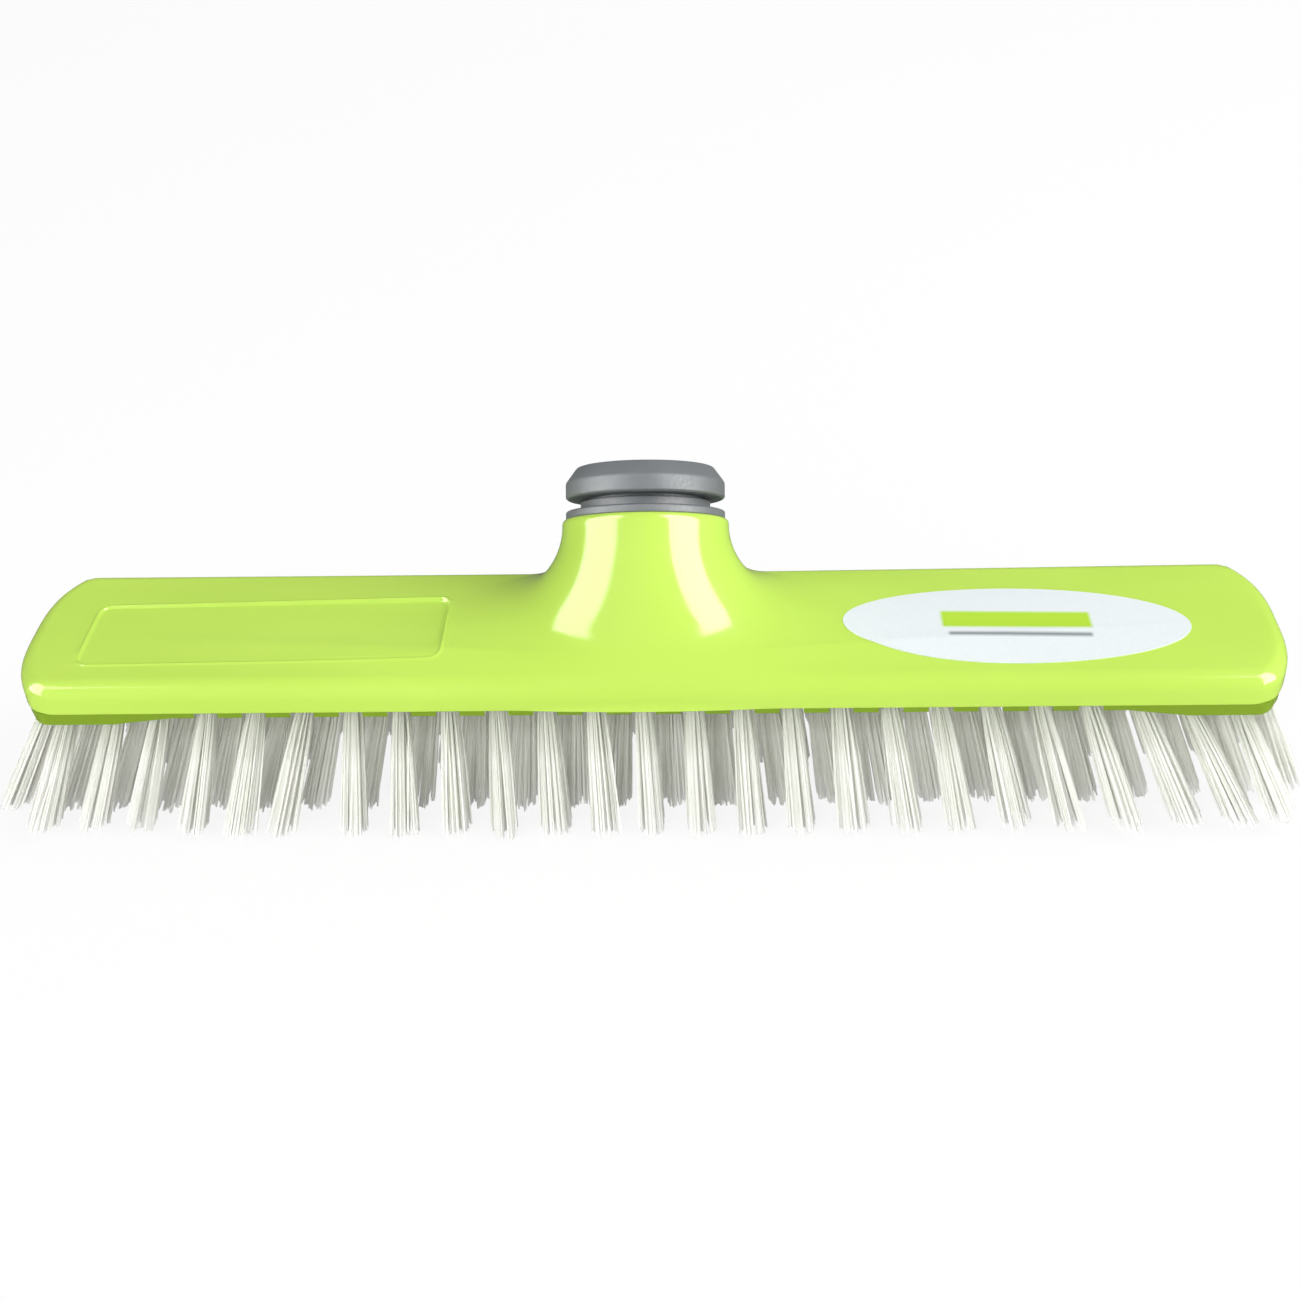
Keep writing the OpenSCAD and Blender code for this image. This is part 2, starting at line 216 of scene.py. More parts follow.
class MeshParts:
    """Gathers grids of points and joins them into one mesh."""

    def __init__(self) -> None:
        """Start empty."""
        self.points: list[np.ndarray] = []
        self.quads: list[np.ndarray] = []
        self.maps: list[np.ndarray] = []
        self.size = 0

    def add_grid(self, points: np.ndarray, close_rows: bool = False, close_columns: bool = False,
                 uv: np.ndarray | None = None) -> None:
        """Add a grid: each face joins (i, j), (i+1, j), (i+1, j+1) and (i, j+1).

        Args:
            points: Rows by columns by 3, in millimetres.
            close_rows: Joins the last row to the first.
            close_columns: Joins the last column to the first.
            uv: Rows by columns by 2, the surface's own map.
        """
        rows, columns = points.shape[:2]
        index = np.arange(rows * columns).reshape(rows, columns) + self.size
        if close_rows:
            index = np.vstack([index, index[:1]])
        if close_columns:
            index = np.hstack([index, index[:, :1]])
        quads = np.stack([index[:-1, :-1], index[1:, :-1], index[1:, 1:], index[:-1, 1:]], axis=-1)
        self.points.append(points.reshape(-1, 3))
        self.quads.append(quads.reshape(-1, 4))
        self.maps.append(np.zeros((rows * columns, 2)) if uv is None else uv.reshape(-1, 2))
        self.size += rows * columns

    def build(self, name: str, weld: float = 1e-4) -> bpy.types.Object:
        """Weld the grids into one mesh, with its faces turned outwards.

        Args:
            name: The object's name.
            weld: Points closer than this, in millimetres, become one.

        Returns:
            The object, at the origin.
        """
        points = np.concatenate(self.points)
        quads = np.concatenate(self.quads)
        maps = np.concatenate(self.maps)
        _, first, back = np.unique(np.round(points / weld).astype(np.int64), axis=0,
                                   return_index=True, return_inverse=True)
        points, maps, quads = points[first], maps[first], back.reshape(-1)[quads]
        same = quads == np.roll(quads, -1, axis=1)
        whole = quads[~same.any(axis=1)]
        pinched = quads[same.sum(axis=1) == 1]
        keep = ~same[same.sum(axis=1) == 1]
        threes = pinched[keep].reshape(-1, 3)
        return make_object(name, points, whole.tolist() + threes.tolist(), maps)


def add_object(name: str, data: bpy.types.ID) -> bpy.types.Object:
    """Put new data into the scene as an object at the origin.

    Args:
        name: The object's name.
        data: Its mesh, lamp or camera.

    Returns:
        The object.
    """
    thing = bpy.data.objects.new(name, data)
    bpy.context.scene.collection.objects.link(thing)
    return thing


def make_object(name: str, points: np.ndarray, faces: list, maps: np.ndarray | None = None,
                sharp: float = 50.0, closed: bool = True) -> bpy.types.Object:
    """Write points and faces into a new object at the origin.

    Args:
        name: The object's name.
        points: N by 3, in millimetres.
        faces: Lists of point numbers.
        maps: N by 2, one map position for each point.
        sharp: Edges that turn by more than this, in degrees, stay sharp.
        closed: A closed shell, whose faces are turned outwards and whose sharp edges are marked.

    Returns:
        The object, smooth shaded.
    """
    mesh = bpy.data.meshes.new(name)
    mesh.from_pydata((points * MM).tolist(), [], faces)
    if closed:
        shell = bmesh.new()
        shell.from_mesh(mesh)
        bmesh.ops.recalc_face_normals(shell, faces=shell.faces)
        if shell.calc_volume(signed=True) < 0:
            bmesh.ops.reverse_faces(shell, faces=shell.faces)
        shell.to_mesh(mesh)
        shell.free()
    if maps is not None:
        corner = np.empty(len(mesh.loops), dtype=np.int32)
        mesh.loops.foreach_get("vertex_index", corner)
        layer = mesh.uv_layers.new(name="surface")
        layer.data.foreach_set("uv", maps[corner].astype(np.float32).ravel())
    mesh.shade_smooth()
    mesh.update()
    if closed:
        mesh.set_sharp_from_angle(angle=math.radians(sharp))
    return add_object(name, mesh)


def hand_over(piece: bpy.types.Object, material: bpy.types.Material, slot: Slot, *nodes: str) -> None:
    """Give a new piece its material, body and slot, and the CAD nodes it stands for.

    Args:
        piece: The finished piece.
        material: Its material.
        slot: The record's slot it takes its finish from.
        *nodes: The CAD nodes that it replaces.
    """
    piece.data.materials.clear()
    piece.data.materials.append(material)
    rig.ride(piece, "root")
    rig.slot(piece, slot.value)
    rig.replaces(piece, *nodes)
    LOG.info("%s: %d faces, stands for %s", piece.name, len(piece.data.polygons), ", ".join(nodes))


def smooth_step(value: np.ndarray, low: float, high: float) -> np.ndarray:
    """0 below low, 1 above high, and 3t^2 - 2t^3 between them."""
    share = np.clip((value - low) / (high - low), 0.0, 1.0)
    return share * share * (3 - 2 * share)


def unit(angle: np.ndarray) -> np.ndarray:
    """The unit vectors (cos, sin) of angles, along a new last axis."""
    return np.stack([np.cos(angle), np.sin(angle)], axis=-1)


def round_max(a: np.ndarray, b: np.ndarray, radius: float) -> np.ndarray:
    """The larger of two distances, with the edge between them rounded to a radius."""
    u, v = a + radius, b + radius
    return np.minimum(np.maximum(u, v), 0) + np.hypot(np.maximum(u, 0), np.maximum(v, 0)) - radius


def spaced(stops: list[tuple[float, float]]) -> np.ndarray:
    """Grid lines from the first stop to the last.

    Args:
        stops: (position, step up to the next stop) pairs in rising order.

    Returns:
        The positions, with each stop among them.
    """
    lines = [np.linspace(a, b, max(1, round((b - a) / step)), endpoint=False)
             for (a, step), (b, _) in zip(stops, stops[1:])]
    return np.concatenate(lines + [np.array([stops[-1][0]])])


# ---------------------------------------------------------------------------------- finishes

# A noise texture stays near a half: a Map Range with these settings spreads it over 0 to 1
NOISE_SPREAD = {"From Min": 0.35, "From Max": 0.65}


def scale_of(size: float) -> float:
    """The scale, on coordinates in metres, of a pattern whose features are so many millimetres."""
    return 1 / (size * MM)


@dataclass(frozen=True)
class GlossyMoulding:
    """Injection-moulded polypropylene out of a polished tool: an even colour, a sharp gloss and a
    faint waviness where thick and thin places shrank differently."""

    name: str
    colour: str
    shade: str
    roughness: float = 0.12
    scuff_dulls: float = 0.05
    ior: float = 1.49
    cloud_mm: float = 30.0
    cloud_shape: tuple[float, float, float] = (0.35, 1.0, 1.0)
    scuff_mm: float = 3.0
    scuff_shape: tuple[float, float, float] = (0.25, 1.0, 1.0)
    scuff_turn: float = 0.5
    wave_mm: float = 14.0
    wave: float = 0.05
    grain_mm: float = 0.9
    grain: float = 0.012

    def material(self) -> bpy.types.Material:
        """Build the moulding's material, on Object coordinates in metres.

        Returns:
            The material.
        """
        material, tree = new_material(self.name)
        place = add_node(tree, "TexCoord").outputs["Object"]
        # Flow marks: broad clouds a few per cent darker, drawn out along the block
        drawn = add_node(tree, "Mapping", {"Scale": self.cloud_shape}, Vector=place)
        cloud = add_node(tree, "TexNoise", {"Scale": scale_of(self.cloud_mm)}, Vector=drawn)
        tone = add_node(tree, "MapRange", NOISE_SPREAD, Value=cloud)
        colour = add_node(tree, "Mix", {"data_type": "RGBA", 6: linear(self.shade), 7: linear(self.colour)},
                          in0=tone)
        # Handling scuffs: fine smears that only change the gloss
        smear = add_node(tree, "Mapping", {"Scale": self.scuff_shape, "Rotation": (0, 0, self.scuff_turn)},
                         Vector=place)
        scuff = add_node(tree, "TexNoise", {"Scale": scale_of(self.scuff_mm), "Detail": 5.0}, Vector=smear)
        gloss = add_node(tree, "MapRange", {"From Min": 0.45, "From Max": 0.75, "To Min": self.roughness,
                                            "To Max": self.roughness + self.scuff_dulls}, Value=scuff)
        # The waviness, and over it the fine peel of the tool's polish
        swell = add_node(tree, "TexNoise", {"Scale": scale_of(self.wave_mm), "Detail": 1.0}, Vector=place)
        wavy = add_node(tree, "Bump", {"Distance": self.wave * MM}, Height=swell)
        peel = add_node(tree, "TexNoise", {"Scale": scale_of(self.grain_mm)}, Vector=place)
        fine = add_node(tree, "Bump", {"Distance": self.grain * MM}, Height=peel, Normal=wavy)
        shader = add_node(tree, "BsdfPrincipled", {"IOR": self.ior}, Base_Color=colour, Roughness=gloss,
                          Normal=fine)
        add_node(tree, "OutputMaterial", Surface=shader)
        return material


@dataclass(frozen=True)
class SatinMoulding:
    """Moulded ABS out of a spark-eroded tool: a fine even grain that makes the gloss broad and soft."""

    name: str
    colour: str
    shade: str
    roughness: float = 0.52
    ior: float = 1.53
    cloud_mm: float = 9.0
    grain_mm: float = 0.6
    grain: float = 0.02

    def material(self) -> bpy.types.Material:
        """Build the moulding's material, on Object coordinates in metres.

        Returns:
            The material.
        """
        material, tree = new_material(self.name)
        place = add_node(tree, "TexCoord").outputs["Object"]
        cloud = add_node(tree, "TexNoise", {"Scale": scale_of(self.cloud_mm), "Detail": 3.0}, Vector=place)
        tone = add_node(tree, "MapRange", NOISE_SPREAD, Value=cloud)
        colour = add_node(tree, "Mix", {"data_type": "RGBA", 6: linear(self.shade), 7: linear(self.colour)},
                          in0=tone)
        grit = add_node(tree, "TexVoronoi", {"Scale": scale_of(self.grain_mm)}, Vector=place)
        gloss = add_node(tree, "MapRange", {"From Min": 0.2, "From Max": 0.8, "To Min": self.roughness - 0.05,
                                            "To Max": self.roughness + 0.08}, Value=grit)
        pitted = add_node(tree, "Bump", {"Distance": self.grain * MM}, Height=grit)
        shader = add_node(tree, "BsdfPrincipled", {"IOR": self.ior}, Base_Color=colour, Roughness=gloss,
                          Normal=pitted)
        add_node(tree, "OutputMaterial", Surface=shader)
        return material


@dataclass(frozen=True)
class LabelPaper:
    """Gloss-laminated paper label: cool white, a faint fibre mottle under the film, and a plain
    printed bar and rule. The map runs from -1 to 1 along the oval's length and its width."""

    name: str = "gloss_laminated_paper"
    colour: str = "#e7edee"
    shade: str = "#dee6e9"
    bar_colour: str = "#b4dc3c"
    rule_colour: str = "#8b9294"
    bar: tuple[float, float, float, float] = (-0.43, 0.43, -0.13, 0.30)
    rule: tuple[float, float, float, float] = (-0.40, 0.42, -0.36, -0.27)
    soft: float = 0.012
    length_to_width: int = 3
    roughness: float = 0.22
    ior: float = 1.48
    fibre_mm: float = 1.2
    ripple_mm: float = 7.0
    ripple: float = 0.02

    def inside(self, tree: bpy.types.NodeTree, place: bpy.types.Node,
               box: tuple[float, float, float, float]) -> bpy.types.Node:
        """1 inside a box on the map and 0 outside it, with a soft edge as wide each way.

        Args:
            tree: The material's tree.
            place: The node that gives the positions along the oval and across it.
            box: Lowest and highest position along, then across.

        Returns:
            The node that gives the share.
        """
        shares = []
        for way, soft in enumerate((self.soft, self.soft * self.length_to_width)):
            low, high = box[2 * way:2 * way + 2]
            edges = [add_node(tree, "MapRange", {"From Min": edge - blur, "From Max": edge + blur},
                              Value=place.outputs[way]) for edge, blur in ((low, soft), (high, -soft))]
            shares.append(add_node(tree, "Math", {"operation": "MULTIPLY"}, in0=edges[0], in1=edges[1]))
        return add_node(tree, "Math", {"operation": "MULTIPLY"}, in0=shares[0], in1=shares[1])

    def material(self) -> bpy.types.Material:
        """Build the label's material: the print is on the map, the paper on Object coordinates.

        Returns:
            The material.
        """
        material, tree = new_material(self.name)
        place = add_node(tree, "TexCoord")
        across = add_node(tree, "SeparateXYZ", Vector=place.outputs["UV"])
        fibre = add_node(tree, "TexNoise", {"Scale": scale_of(self.fibre_mm), "Detail": 4.0},
                         Vector=place.outputs["Object"])
        sheet = add_node(tree, "Mix", {"data_type": "RGBA", 6: linear(self.shade), 7: linear(self.colour)},
                          in0=fibre)
        for box, ink in ((self.bar, self.bar_colour), (self.rule, self.rule_colour)):
            sheet = add_node(tree, "Mix", {"data_type": "RGBA", 7: linear(ink)},
                             in0=self.inside(tree, across, box), in6=sheet)
        swell = add_node(tree, "TexNoise", {"Scale": scale_of(self.ripple_mm), "Detail": 1.0},
                         Vector=place.outputs["Object"])
        wavy = add_node(tree, "Bump", {"Distance": self.ripple * MM}, Height=swell)
        shader = add_node(tree, "BsdfPrincipled", {"IOR": self.ior, "Roughness": self.roughness},
                          Base_Color=sheet, Normal=wavy)
        add_node(tree, "OutputMaterial", Surface=shader)
        return material


@dataclass(frozen=True)
class BristleFilament:
    """Extruded polypropylene monofilament, cut and trimmed: each strand a slightly different
    milky white and cloudier at its cut tip. Towards its root it is painted greenish grey, as painted
    shade under the block and a painted green reflection of the olive plate. The map holds a number for the strand and
    the height."""

    name: str = "polypropylene_filament"
    light: str = "#fbfbf8"
    dark: str = "#f0f1ea"
    tip: str = "#fcfcfc"
    # The root colour is painted shade under the block, plus a painted green reflection of the olive plate
    root: str = "#b9bfa6"
    roughness: float = 0.36
    ior: float = 1.49
    milky: float = 0.4
    draw_mm: float = 2.5
    draw: float = 0.03

    def material(self) -> bpy.types.Material:
        """Build the filament's material: its colours are on the strands' own map, its bump on Object
        coordinates.

        Returns:
            The material.
        """
        material, tree = new_material(self.name)
        place = add_node(tree, "TexCoord")
        strand = add_node(tree, "SeparateXYZ", Vector=place.outputs["UV"])
        colour = add_node(tree, "Mix", {"data_type": "RGBA", 6: linear(self.dark), 7: linear(self.light)},
                          in0=strand)
        # Painted shade near the root: greenish grey standing for the block's shade and the olive plate's reflection,
        # gone by 0.45 of the way down
        painted_root_shade = {"From Min": 0.45, "From Max": 0.06, "To Max": 0.6}
        cut = {"From Min": 0.82, "To Max": 0.7}
        for reach, tint in ((painted_root_shade, self.root), (cut, self.tip)):
            share = add_node(tree, "MapRange", reach, Value=strand.outputs[1])
            colour = add_node(tree, "Mix", {"data_type": "RGBA", 7: linear(tint)}, in0=share, in6=colour)
        gloss = add_node(tree, "MapRange", {"To Min": self.roughness - 0.08, "To Max": self.roughness + 0.12},
                         Value=strand)
        drawn = add_node(tree, "TexNoise", {"Scale": scale_of(self.draw_mm)}, Vector=place.outputs["Object"])
        uneven = add_node(tree, "Bump", {"Strength": 0.5, "Distance": self.draw * MM}, Height=drawn)
        skin = add_node(tree, "BsdfPrincipled", {"IOR": self.ior}, Base_Color=colour, Roughness=gloss,
                        Normal=uneven)
        glow = add_node(tree, "BsdfTranslucent", Color=colour)
        shader = add_node(tree, "MixShader", {"Fac": self.milky}, in1=skin, in2=glow)
        add_node(tree, "OutputMaterial", Surface=shader)
        return material


@dataclass(frozen=True)
class PlatedSteel:
    """Zinc-plated steel, stamped or headed: a bright grey with a broken, slightly dull gloss."""

    name: str
    colour: str = "#c3c5c6"
    shade: str = "#aeb1b3"
    roughness: float = 0.3
    streak_mm: float = 0.5

    def material(self) -> bpy.types.Material:
        """Build the metal's material, on Object coordinates in metres.

        Returns:
            The material.
        """
        material, tree = new_material(self.name)
        place = add_node(tree, "TexCoord").outputs["Object"]
        spangle = add_node(tree, "TexNoise", {"Scale": scale_of(self.streak_mm), "Detail": 3.0}, Vector=place)
        gloss = add_node(tree, "MapRange", {"To Min": self.roughness - 0.1, "To Max": self.roughness + 0.15},
                         Value=spangle)
        colour = add_node(tree, "Mix", {"data_type": "RGBA", 6: linear(self.shade), 7: linear(self.colour)},
                          in0=spangle)
        shader = add_node(tree, "BsdfPrincipled", {"Metallic": 1.0}, Base_Color=colour, Roughness=gloss)
        add_node(tree, "OutputMaterial", Surface=shader)
        return material


# ---------------------------------------------------------------------------------- the parts


@dataclass
class NeckShape:
    """The flared, tilted neck, by a distance that is negative inside it.

    Its rings turn from level at start to square with the axis at square, both lengths along it.
    Beyond turn_reach, before and behind the axis, a point's ring is found as at that depth.
    """

    radius: float = 20.2
    tilt: float = math.radians(38)
    length: float = 31.0
    flare_reach: float = 31.0
    flare_length: float = 21.4
    steepest: float = 8.0
    square: float = 29.5
    start: float = 0.4
    lip_z: float = 36.0
    turn_reach: tuple[float, float] = (-22.0, 20.5)
    rounds: int = 6
    least_rate: float = 0.25
    tiny: float = 1e-3

    def axis_point(self, along: float) -> np.ndarray:
        """The point on the neck's axis that lies so far from the lip plane."""
        return np.array([0.0, along * math.sin(self.tilt), self.lip_z + along * math.cos(self.tilt)])

    def ring(self, along: float, radius: float, angles: np.ndarray) -> np.ndarray:
        """Points of a circle square to the axis: radius times (cos, sin) of the angles, sin to the rear.

        Args:
            along: Distance of the circle's plane along the axis.
            radius: Its radius.
            angles: The points' angles.

        Returns:
            One point for each angle.
        """
        across, deep = radius * np.cos(angles), radius * np.sin(angles)
        centre = self.axis_point(along)
        return np.stack([across, centre[1] + deep * math.cos(self.tilt),
                         centre[2] - deep * math.sin(self.tilt)], axis=-1)

    def half_width(self, along: np.ndarray) -> tuple[np.ndarray, np.ndarray]:
        """Half the neck's width and how fast it changes: a quarter ellipse that widens towards the
        lip, and a straight line on from where it reaches its steepest slope.

        Args:
            along: Which ring, by its distance along the axis.

        Returns:
            The half width and its slope.
        """
        ratio = self.steepest * self.flare_length / self.flare_reach
        foot = 1 - ratio / math.hypot(1, ratio)
        share = (along - self.square + self.flare_length) / self.flare_length
        rest = 1 - np.clip(share, foot, 1.0)
        arc = np.sqrt(1 - rest * rest)
        below = np.minimum(share - foot, 0.0) * self.flare_length
        half = self.radius + self.flare_reach * (1 - arc) - self.steepest * below
        return half, -self.flare_reach / self.flare_length * rest / arc

    def distance(self, points: np.ndarray) -> np.ndarray:
        """Rough distance from the neck's skin. The rings turn from level at the lip to square with
        the axis, so each point's ring is found by Newton's rule, and the ring is an ellipse.

        Args:
            points: N by 3.

        Returns:
            One distance for each point, negative inside.
        """
        y, z = points[:, 1], points[:, 2] - self.lip_z
        along = y * math.sin(self.tilt) + z * math.cos(self.tilt)
        deep = y * math.cos(self.tilt) - z * math.sin(self.tilt)
        held = np.clip(deep, *self.turn_reach)
        ring = along.copy()
        for _ in range(self.rounds):
            turn = self.tilt * (1 - np.clip((ring - self.start) / (self.square - self.start), 0.0, 1.0))
            rate = np.where((ring > self.start) & (ring < self.square),
                            self.tilt / (self.square - self.start), 0.0)
            value = ring + held * np.tan(turn) - along
            ring = ring - value / np.maximum(1 - held * rate / np.cos(turn) ** 2, self.least_rate)
        half, slope = self.half_width(ring)
        u, v = points[:, 0] / half, deep / self.radius
        size = np.maximum(np.hypot(u, v), self.tiny)
        steep = np.sqrt((u / size / half) ** 2 + (v / size / self.radius) ** 2
                        + (u * u / size / half * slope) ** 2)
        return (size - 1) / np.maximum(steep, self.tiny)


@dataclass
class BlockShape:
    """The block: bulged ends, rounded edges and a crowned top, by a distance negative inside it."""

    length: float = 300.0
    width: float = 49.0
    bulge: float = 7.4
    corner: float = 3.2
    edge: float = 4.0
    edge_z: float = 43.75
    crown: float = 3.2

    def top(self, x: np.ndarray, y: np.ndarray) -> np.ndarray:
        """Height of the top: a ridge that falls in a straight line to the ends and as a parabola
        to the sides."""
        ridge, side = self.length / 2 - self.edge, self.width / 2 - self.edge
        return self.edge_z + self.crown * (1 - np.abs(x) / ridge) * (1 - (y / side) ** 2)

    def end(self, y: np.ndarray, inset: float = 0.0) -> np.ndarray:
        """Half the block's length at y: it falls with the cube of the distance from the centre line."""
        return self.length / 2 - inset - self.bulge * np.abs(y / (self.width / 2 - inset)) ** 3

    def end_slope(self, y: np.ndarray, inset: float = 0.0) -> np.ndarray:
        """How fast that end falls away from the centre line."""
        half = self.width / 2 - inset
        return 3 * self.bulge * y * np.abs(y) / half ** 3

    def distance(self, points: np.ndarray) -> np.ndarray:
        """Distance from the block's skin: the sides, the ends and the top, with their edges rounded.

        Args:
            points: N by 3.

        Returns:
            One distance for each point, negative inside.
        """
        x, y, z = points.T
        ends = (np.abs(x) - self.end(y)) / np.sqrt(1 + self.end_slope(y) ** 2)
        walls = round_max(np.abs(y) - self.width / 2, ends, self.corner)
        return round_max(walls, z - self.top(x, y), self.edge)


@dataclass
class Cover:
    """The lime cover: the block and the neck run into one skin, with a shallow panel in the left
    wing, a stepped bore for the insert and a hollow underside.

    The wings reach in to the middle, whose skin runs from a square border up to the neck's rim.
    The hollow between block and neck grows from lip_blend to blend over the heights of blend_z,
    and wing_z are two heights that a wing's top lies between.
    """

    block: BlockShape = field(default_factory=BlockShape)
    neck: NeckShape = field(default_factory=NeckShape)
    core_inset: float = 4.5
    skirt: float = 1.6
    roof_z: float = 40.6
    blend: float = 5.5
    lip_blend: float = 0.2
    blend_z: tuple[float, float] = (38.5, 46.0)
    wing_z: tuple[float, float] = (41.0, 60.0)
    wing_bend: float = 25.0
    middle: float = 47.0
    lip_round: float = 0.3
    rim_round: float = 1.2
    sleeve_bore: float = 15.9
    spigot_bore: float = 12.8
    sleeve_end: float = 21.2
    spigot_end: float = 17.6
    panel_middle: tuple[float, float] = (-91.0, -3.5)
    panel_half: tuple[float, float] = (43.5, 12.0)
    panel_round: float = 3.0
    panel_depth: float = 0.7
    panel_follow: float = 0.6
    panel_wall: float = 0.7
    panel_least: float = 0.12
    bead: float = 0.3
    bead_place: float = 0.1
    bead_width: float = 0.35
    lip_cut: float = 0.3
    mouth_cut: float = 0.3
    roof_end: float = 0.93
    weld: float = 2e-3
    corner_points: int = 6
    edge_points: int = 9
    wall_rows: int = 5
    foot_start: float = 9.0
    foot_swell: float = 1.12
    foot_pull: float = 0.25
    foot_rounds: tuple[int, int] = (14, 6)
    evenings: int = 40
    even_shares: tuple[float, float, float] = (0.3, 0.2, 0.1)

    def distance(self, points: np.ndarray) -> np.ndarray:
        """Distance from the whole skin: the block and the neck joined by a hollow that is full
        above the edges and fades to next to none at the lip. Its width is the blend length.

        Args:
            points: N by 3.

        Returns:
            One distance for each point, negative inside.
        """
        block, neck = self.block.distance(points), self.neck.distance(points)
        width = self.lip_blend + (self.blend - self.lip_blend) * smooth_step(points[:, 2], *self.blend_z)
        near = np.maximum(width - np.abs(block - neck), 0.0) / width
        return np.minimum(block, neck) - near * near * width / 4

    def settle(self, points: np.ndarray, rounds: int = 10, level: bool = False, small: float = 0.02,
               least: float = 0.05, longest: float = 3.0) -> np.ndarray:
        """Move points on to the skin by Newton's rule along the distance's slope.

        Args:
            points: An array of points, its last axis x, y, z.
            rounds: How many steps.
            level: Keeps each point's height.
            small: The step that the slope is measured over.
            least: The least square of a slope.
            longest: The longest step that a point takes.

        Returns:
            The settled points, in the same shape.
        """
        flat = points.reshape(-1, 3).copy()
        for _ in range(rounds):
            value = self.distance(flat)
            slope = np.stack([(self.distance(flat + step) - value) / small
                              for step in np.eye(3) * small], axis=-1)
            if level:
                slope[:, 2] = 0
            size = np.maximum((slope ** 2).sum(axis=1), least)
            move = slope * (value / size)[:, None]
            length = np.linalg.norm(move, axis=1, keepdims=True)
            flat -= move * np.minimum(1.0, longest / np.maximum(length, 1e-9))
        return flat.reshape(points.shape)

    def height(self, x: np.ndarray, y: np.ndarray, halvings: int = 30) -> np.ndarray:
        """Height of a wing's skin over (x, y), by halving the space between two levels.

        Args:
            x: Positions along the block.
            y: Positions across it, in the same shape.
            halvings: How often the space is halved.

        Returns:
            The heights, in the same shape.
        """
        low, high = (np.full(x.shape, level) for level in self.wing_z)
        for _ in range(halvings):
            middle = (low + high) / 2
            inside = self.distance(np.stack([x, y, middle], axis=-1).reshape(-1, 3)).reshape(x.shape) < 0
            low, high = np.where(inside, middle, low), np.where(inside, high, middle)
        return low

    def panel_drop(self, x: np.ndarray, y: np.ndarray) -> np.ndarray:
        """How far the panel lies below the top: 0 outside a rounded rectangle, the depth of its
        tilted floor inside, a smooth slope over the width of its wall, and a fine raised bead on
        the wall's top edge.

        Args:
            x: Positions along the block.
            y: Positions across it, in the same shape.

        Returns:
            The drops, in the same shape.
        """
        (mx, my), (hx, hy) = self.panel_middle, self.panel_half
        edge = round_max(np.abs(x - mx) - hx, np.abs(y - my) - hy, self.panel_round)
        grade = self.block.crown / (self.block.length / 2 - self.block.edge) * self.panel_follow
        floor = self.block.top(np.array(mx), np.array(my)) - self.panel_depth + grade * (x - mx)
        depth = np.maximum(self.block.top(x, y) - floor, self.panel_least)
        bead = self.bead * np.exp(-((edge - self.bead_place) / self.bead_width) ** 2)
        return depth * (1 - smooth_step(edge, -self.panel_wall, 0.0)) - bead

    def lines(self) -> tuple[np.ndarray, np.ndarray, np.ndarray, np.ndarray]:
        """Grid lines across the block and along it. They crowd at the panel's walls and corners.

        Returns:
            The lines across, then those along the left wing, the middle and the right wing.
        """
        (mx, my), (hx, hy), r = self.panel_middle, self.panel_half, self.panel_round
        side = self.block.width / 2 - self.core_inset
        end = self.block.length / 2 - self.core_inset
        # Each stop has the step up to the next, in millimetres: fine at the panel's walls
        across = spaced([(-side, 1.0), (my - hy - 1.0, 0.2), (my - hy + r, 1.3), (my + hy - r, 0.2),
                         (my + hy + 1.0, 1.3), (side, 1.0)])
        left = spaced([(-end, 1.5), (mx - hx - 1.0, 0.2), (mx - hx + r, 1.6), (mx + hx - r, 0.2),
                       (-self.middle, 1.0)])
        middle = spaced([(-self.middle, 1.15), (self.middle, 1.0)])
        right = spaced([(self.middle, 1.6), (end, 1.0)])
        return across, left, middle, right

    def wing(self, along: np.ndarray, across: np.ndarray) -> np.ndarray:
        """A wing's top: straight lines across it that bend to the end's curve near the end.

        Args:
            along: Positions along the wing.
            across: Positions across it.

        Returns:
            A grid of points, along by across.
        """
        end = self.block.length / 2 - self.core_inset
        x, y = np.meshgrid(along, across, indexing="ij")
        share = smooth_step(np.abs(x), end - self.wing_bend, end) * np.abs(x) / end
        bow = (self.block.end(y, self.core_inset) - end) * share
        x = np.sign(x) * (np.abs(x) + bow)
        return np.stack([x, y, self.block.top(x, y)], axis=-1)

    def outline(self, across: np.ndarray, left: np.ndarray, middle: np.ndarray,
                right: np.ndarray) -> tuple[np.ndarray, np.ndarray]:
        """The core outline that every ring starts from, and the outward direction at each point.
        A corner's point is repeated while its direction swings round.

        Args:
            across: Grid lines across the block.
            left: Grid lines along the left wing.
            middle: Grid lines along the middle.
            right: Grid lines along the right wing.

        Returns:
            Points and directions, N by 2 each, from the right end's front corner anticlockwise.
        """
        side = self.block.width / 2 - self.core_inset
        along = np.concatenate([left, middle[1:-1], right])
        ends = self.block.end(across, self.core_inset)
        side_x = self.wing(along, np.array([side]))[:, 0, 0]
        tilt = np.arctan(self.block.end_slope(across, self.core_inset))
        turn = np.linspace(0, 1, self.corner_points + 2)[1:-1]
        corner = tilt[-1] + (math.pi / 2 - tilt[-1]) * turn
        pieces = [
            (ends, across, tilt),
            (ends[-1], side, corner),
            (side_x[::-1], side, math.pi / 2),
            (-ends[-1], side, math.pi - corner[::-1]),
            (-ends[::-1], across[::-1], math.pi - tilt[::-1]),
            (-ends[0], -side, math.pi + corner),
            (side_x, -side, -math.pi / 2),
            (ends[0], -side, -corner[::-1]),
        ]
        x, y, angle = np.concatenate([np.stack(np.broadcast_arrays(*piece)) for piece in pieces], axis=1)
        return np.stack([x, y], axis=-1), unit(angle)

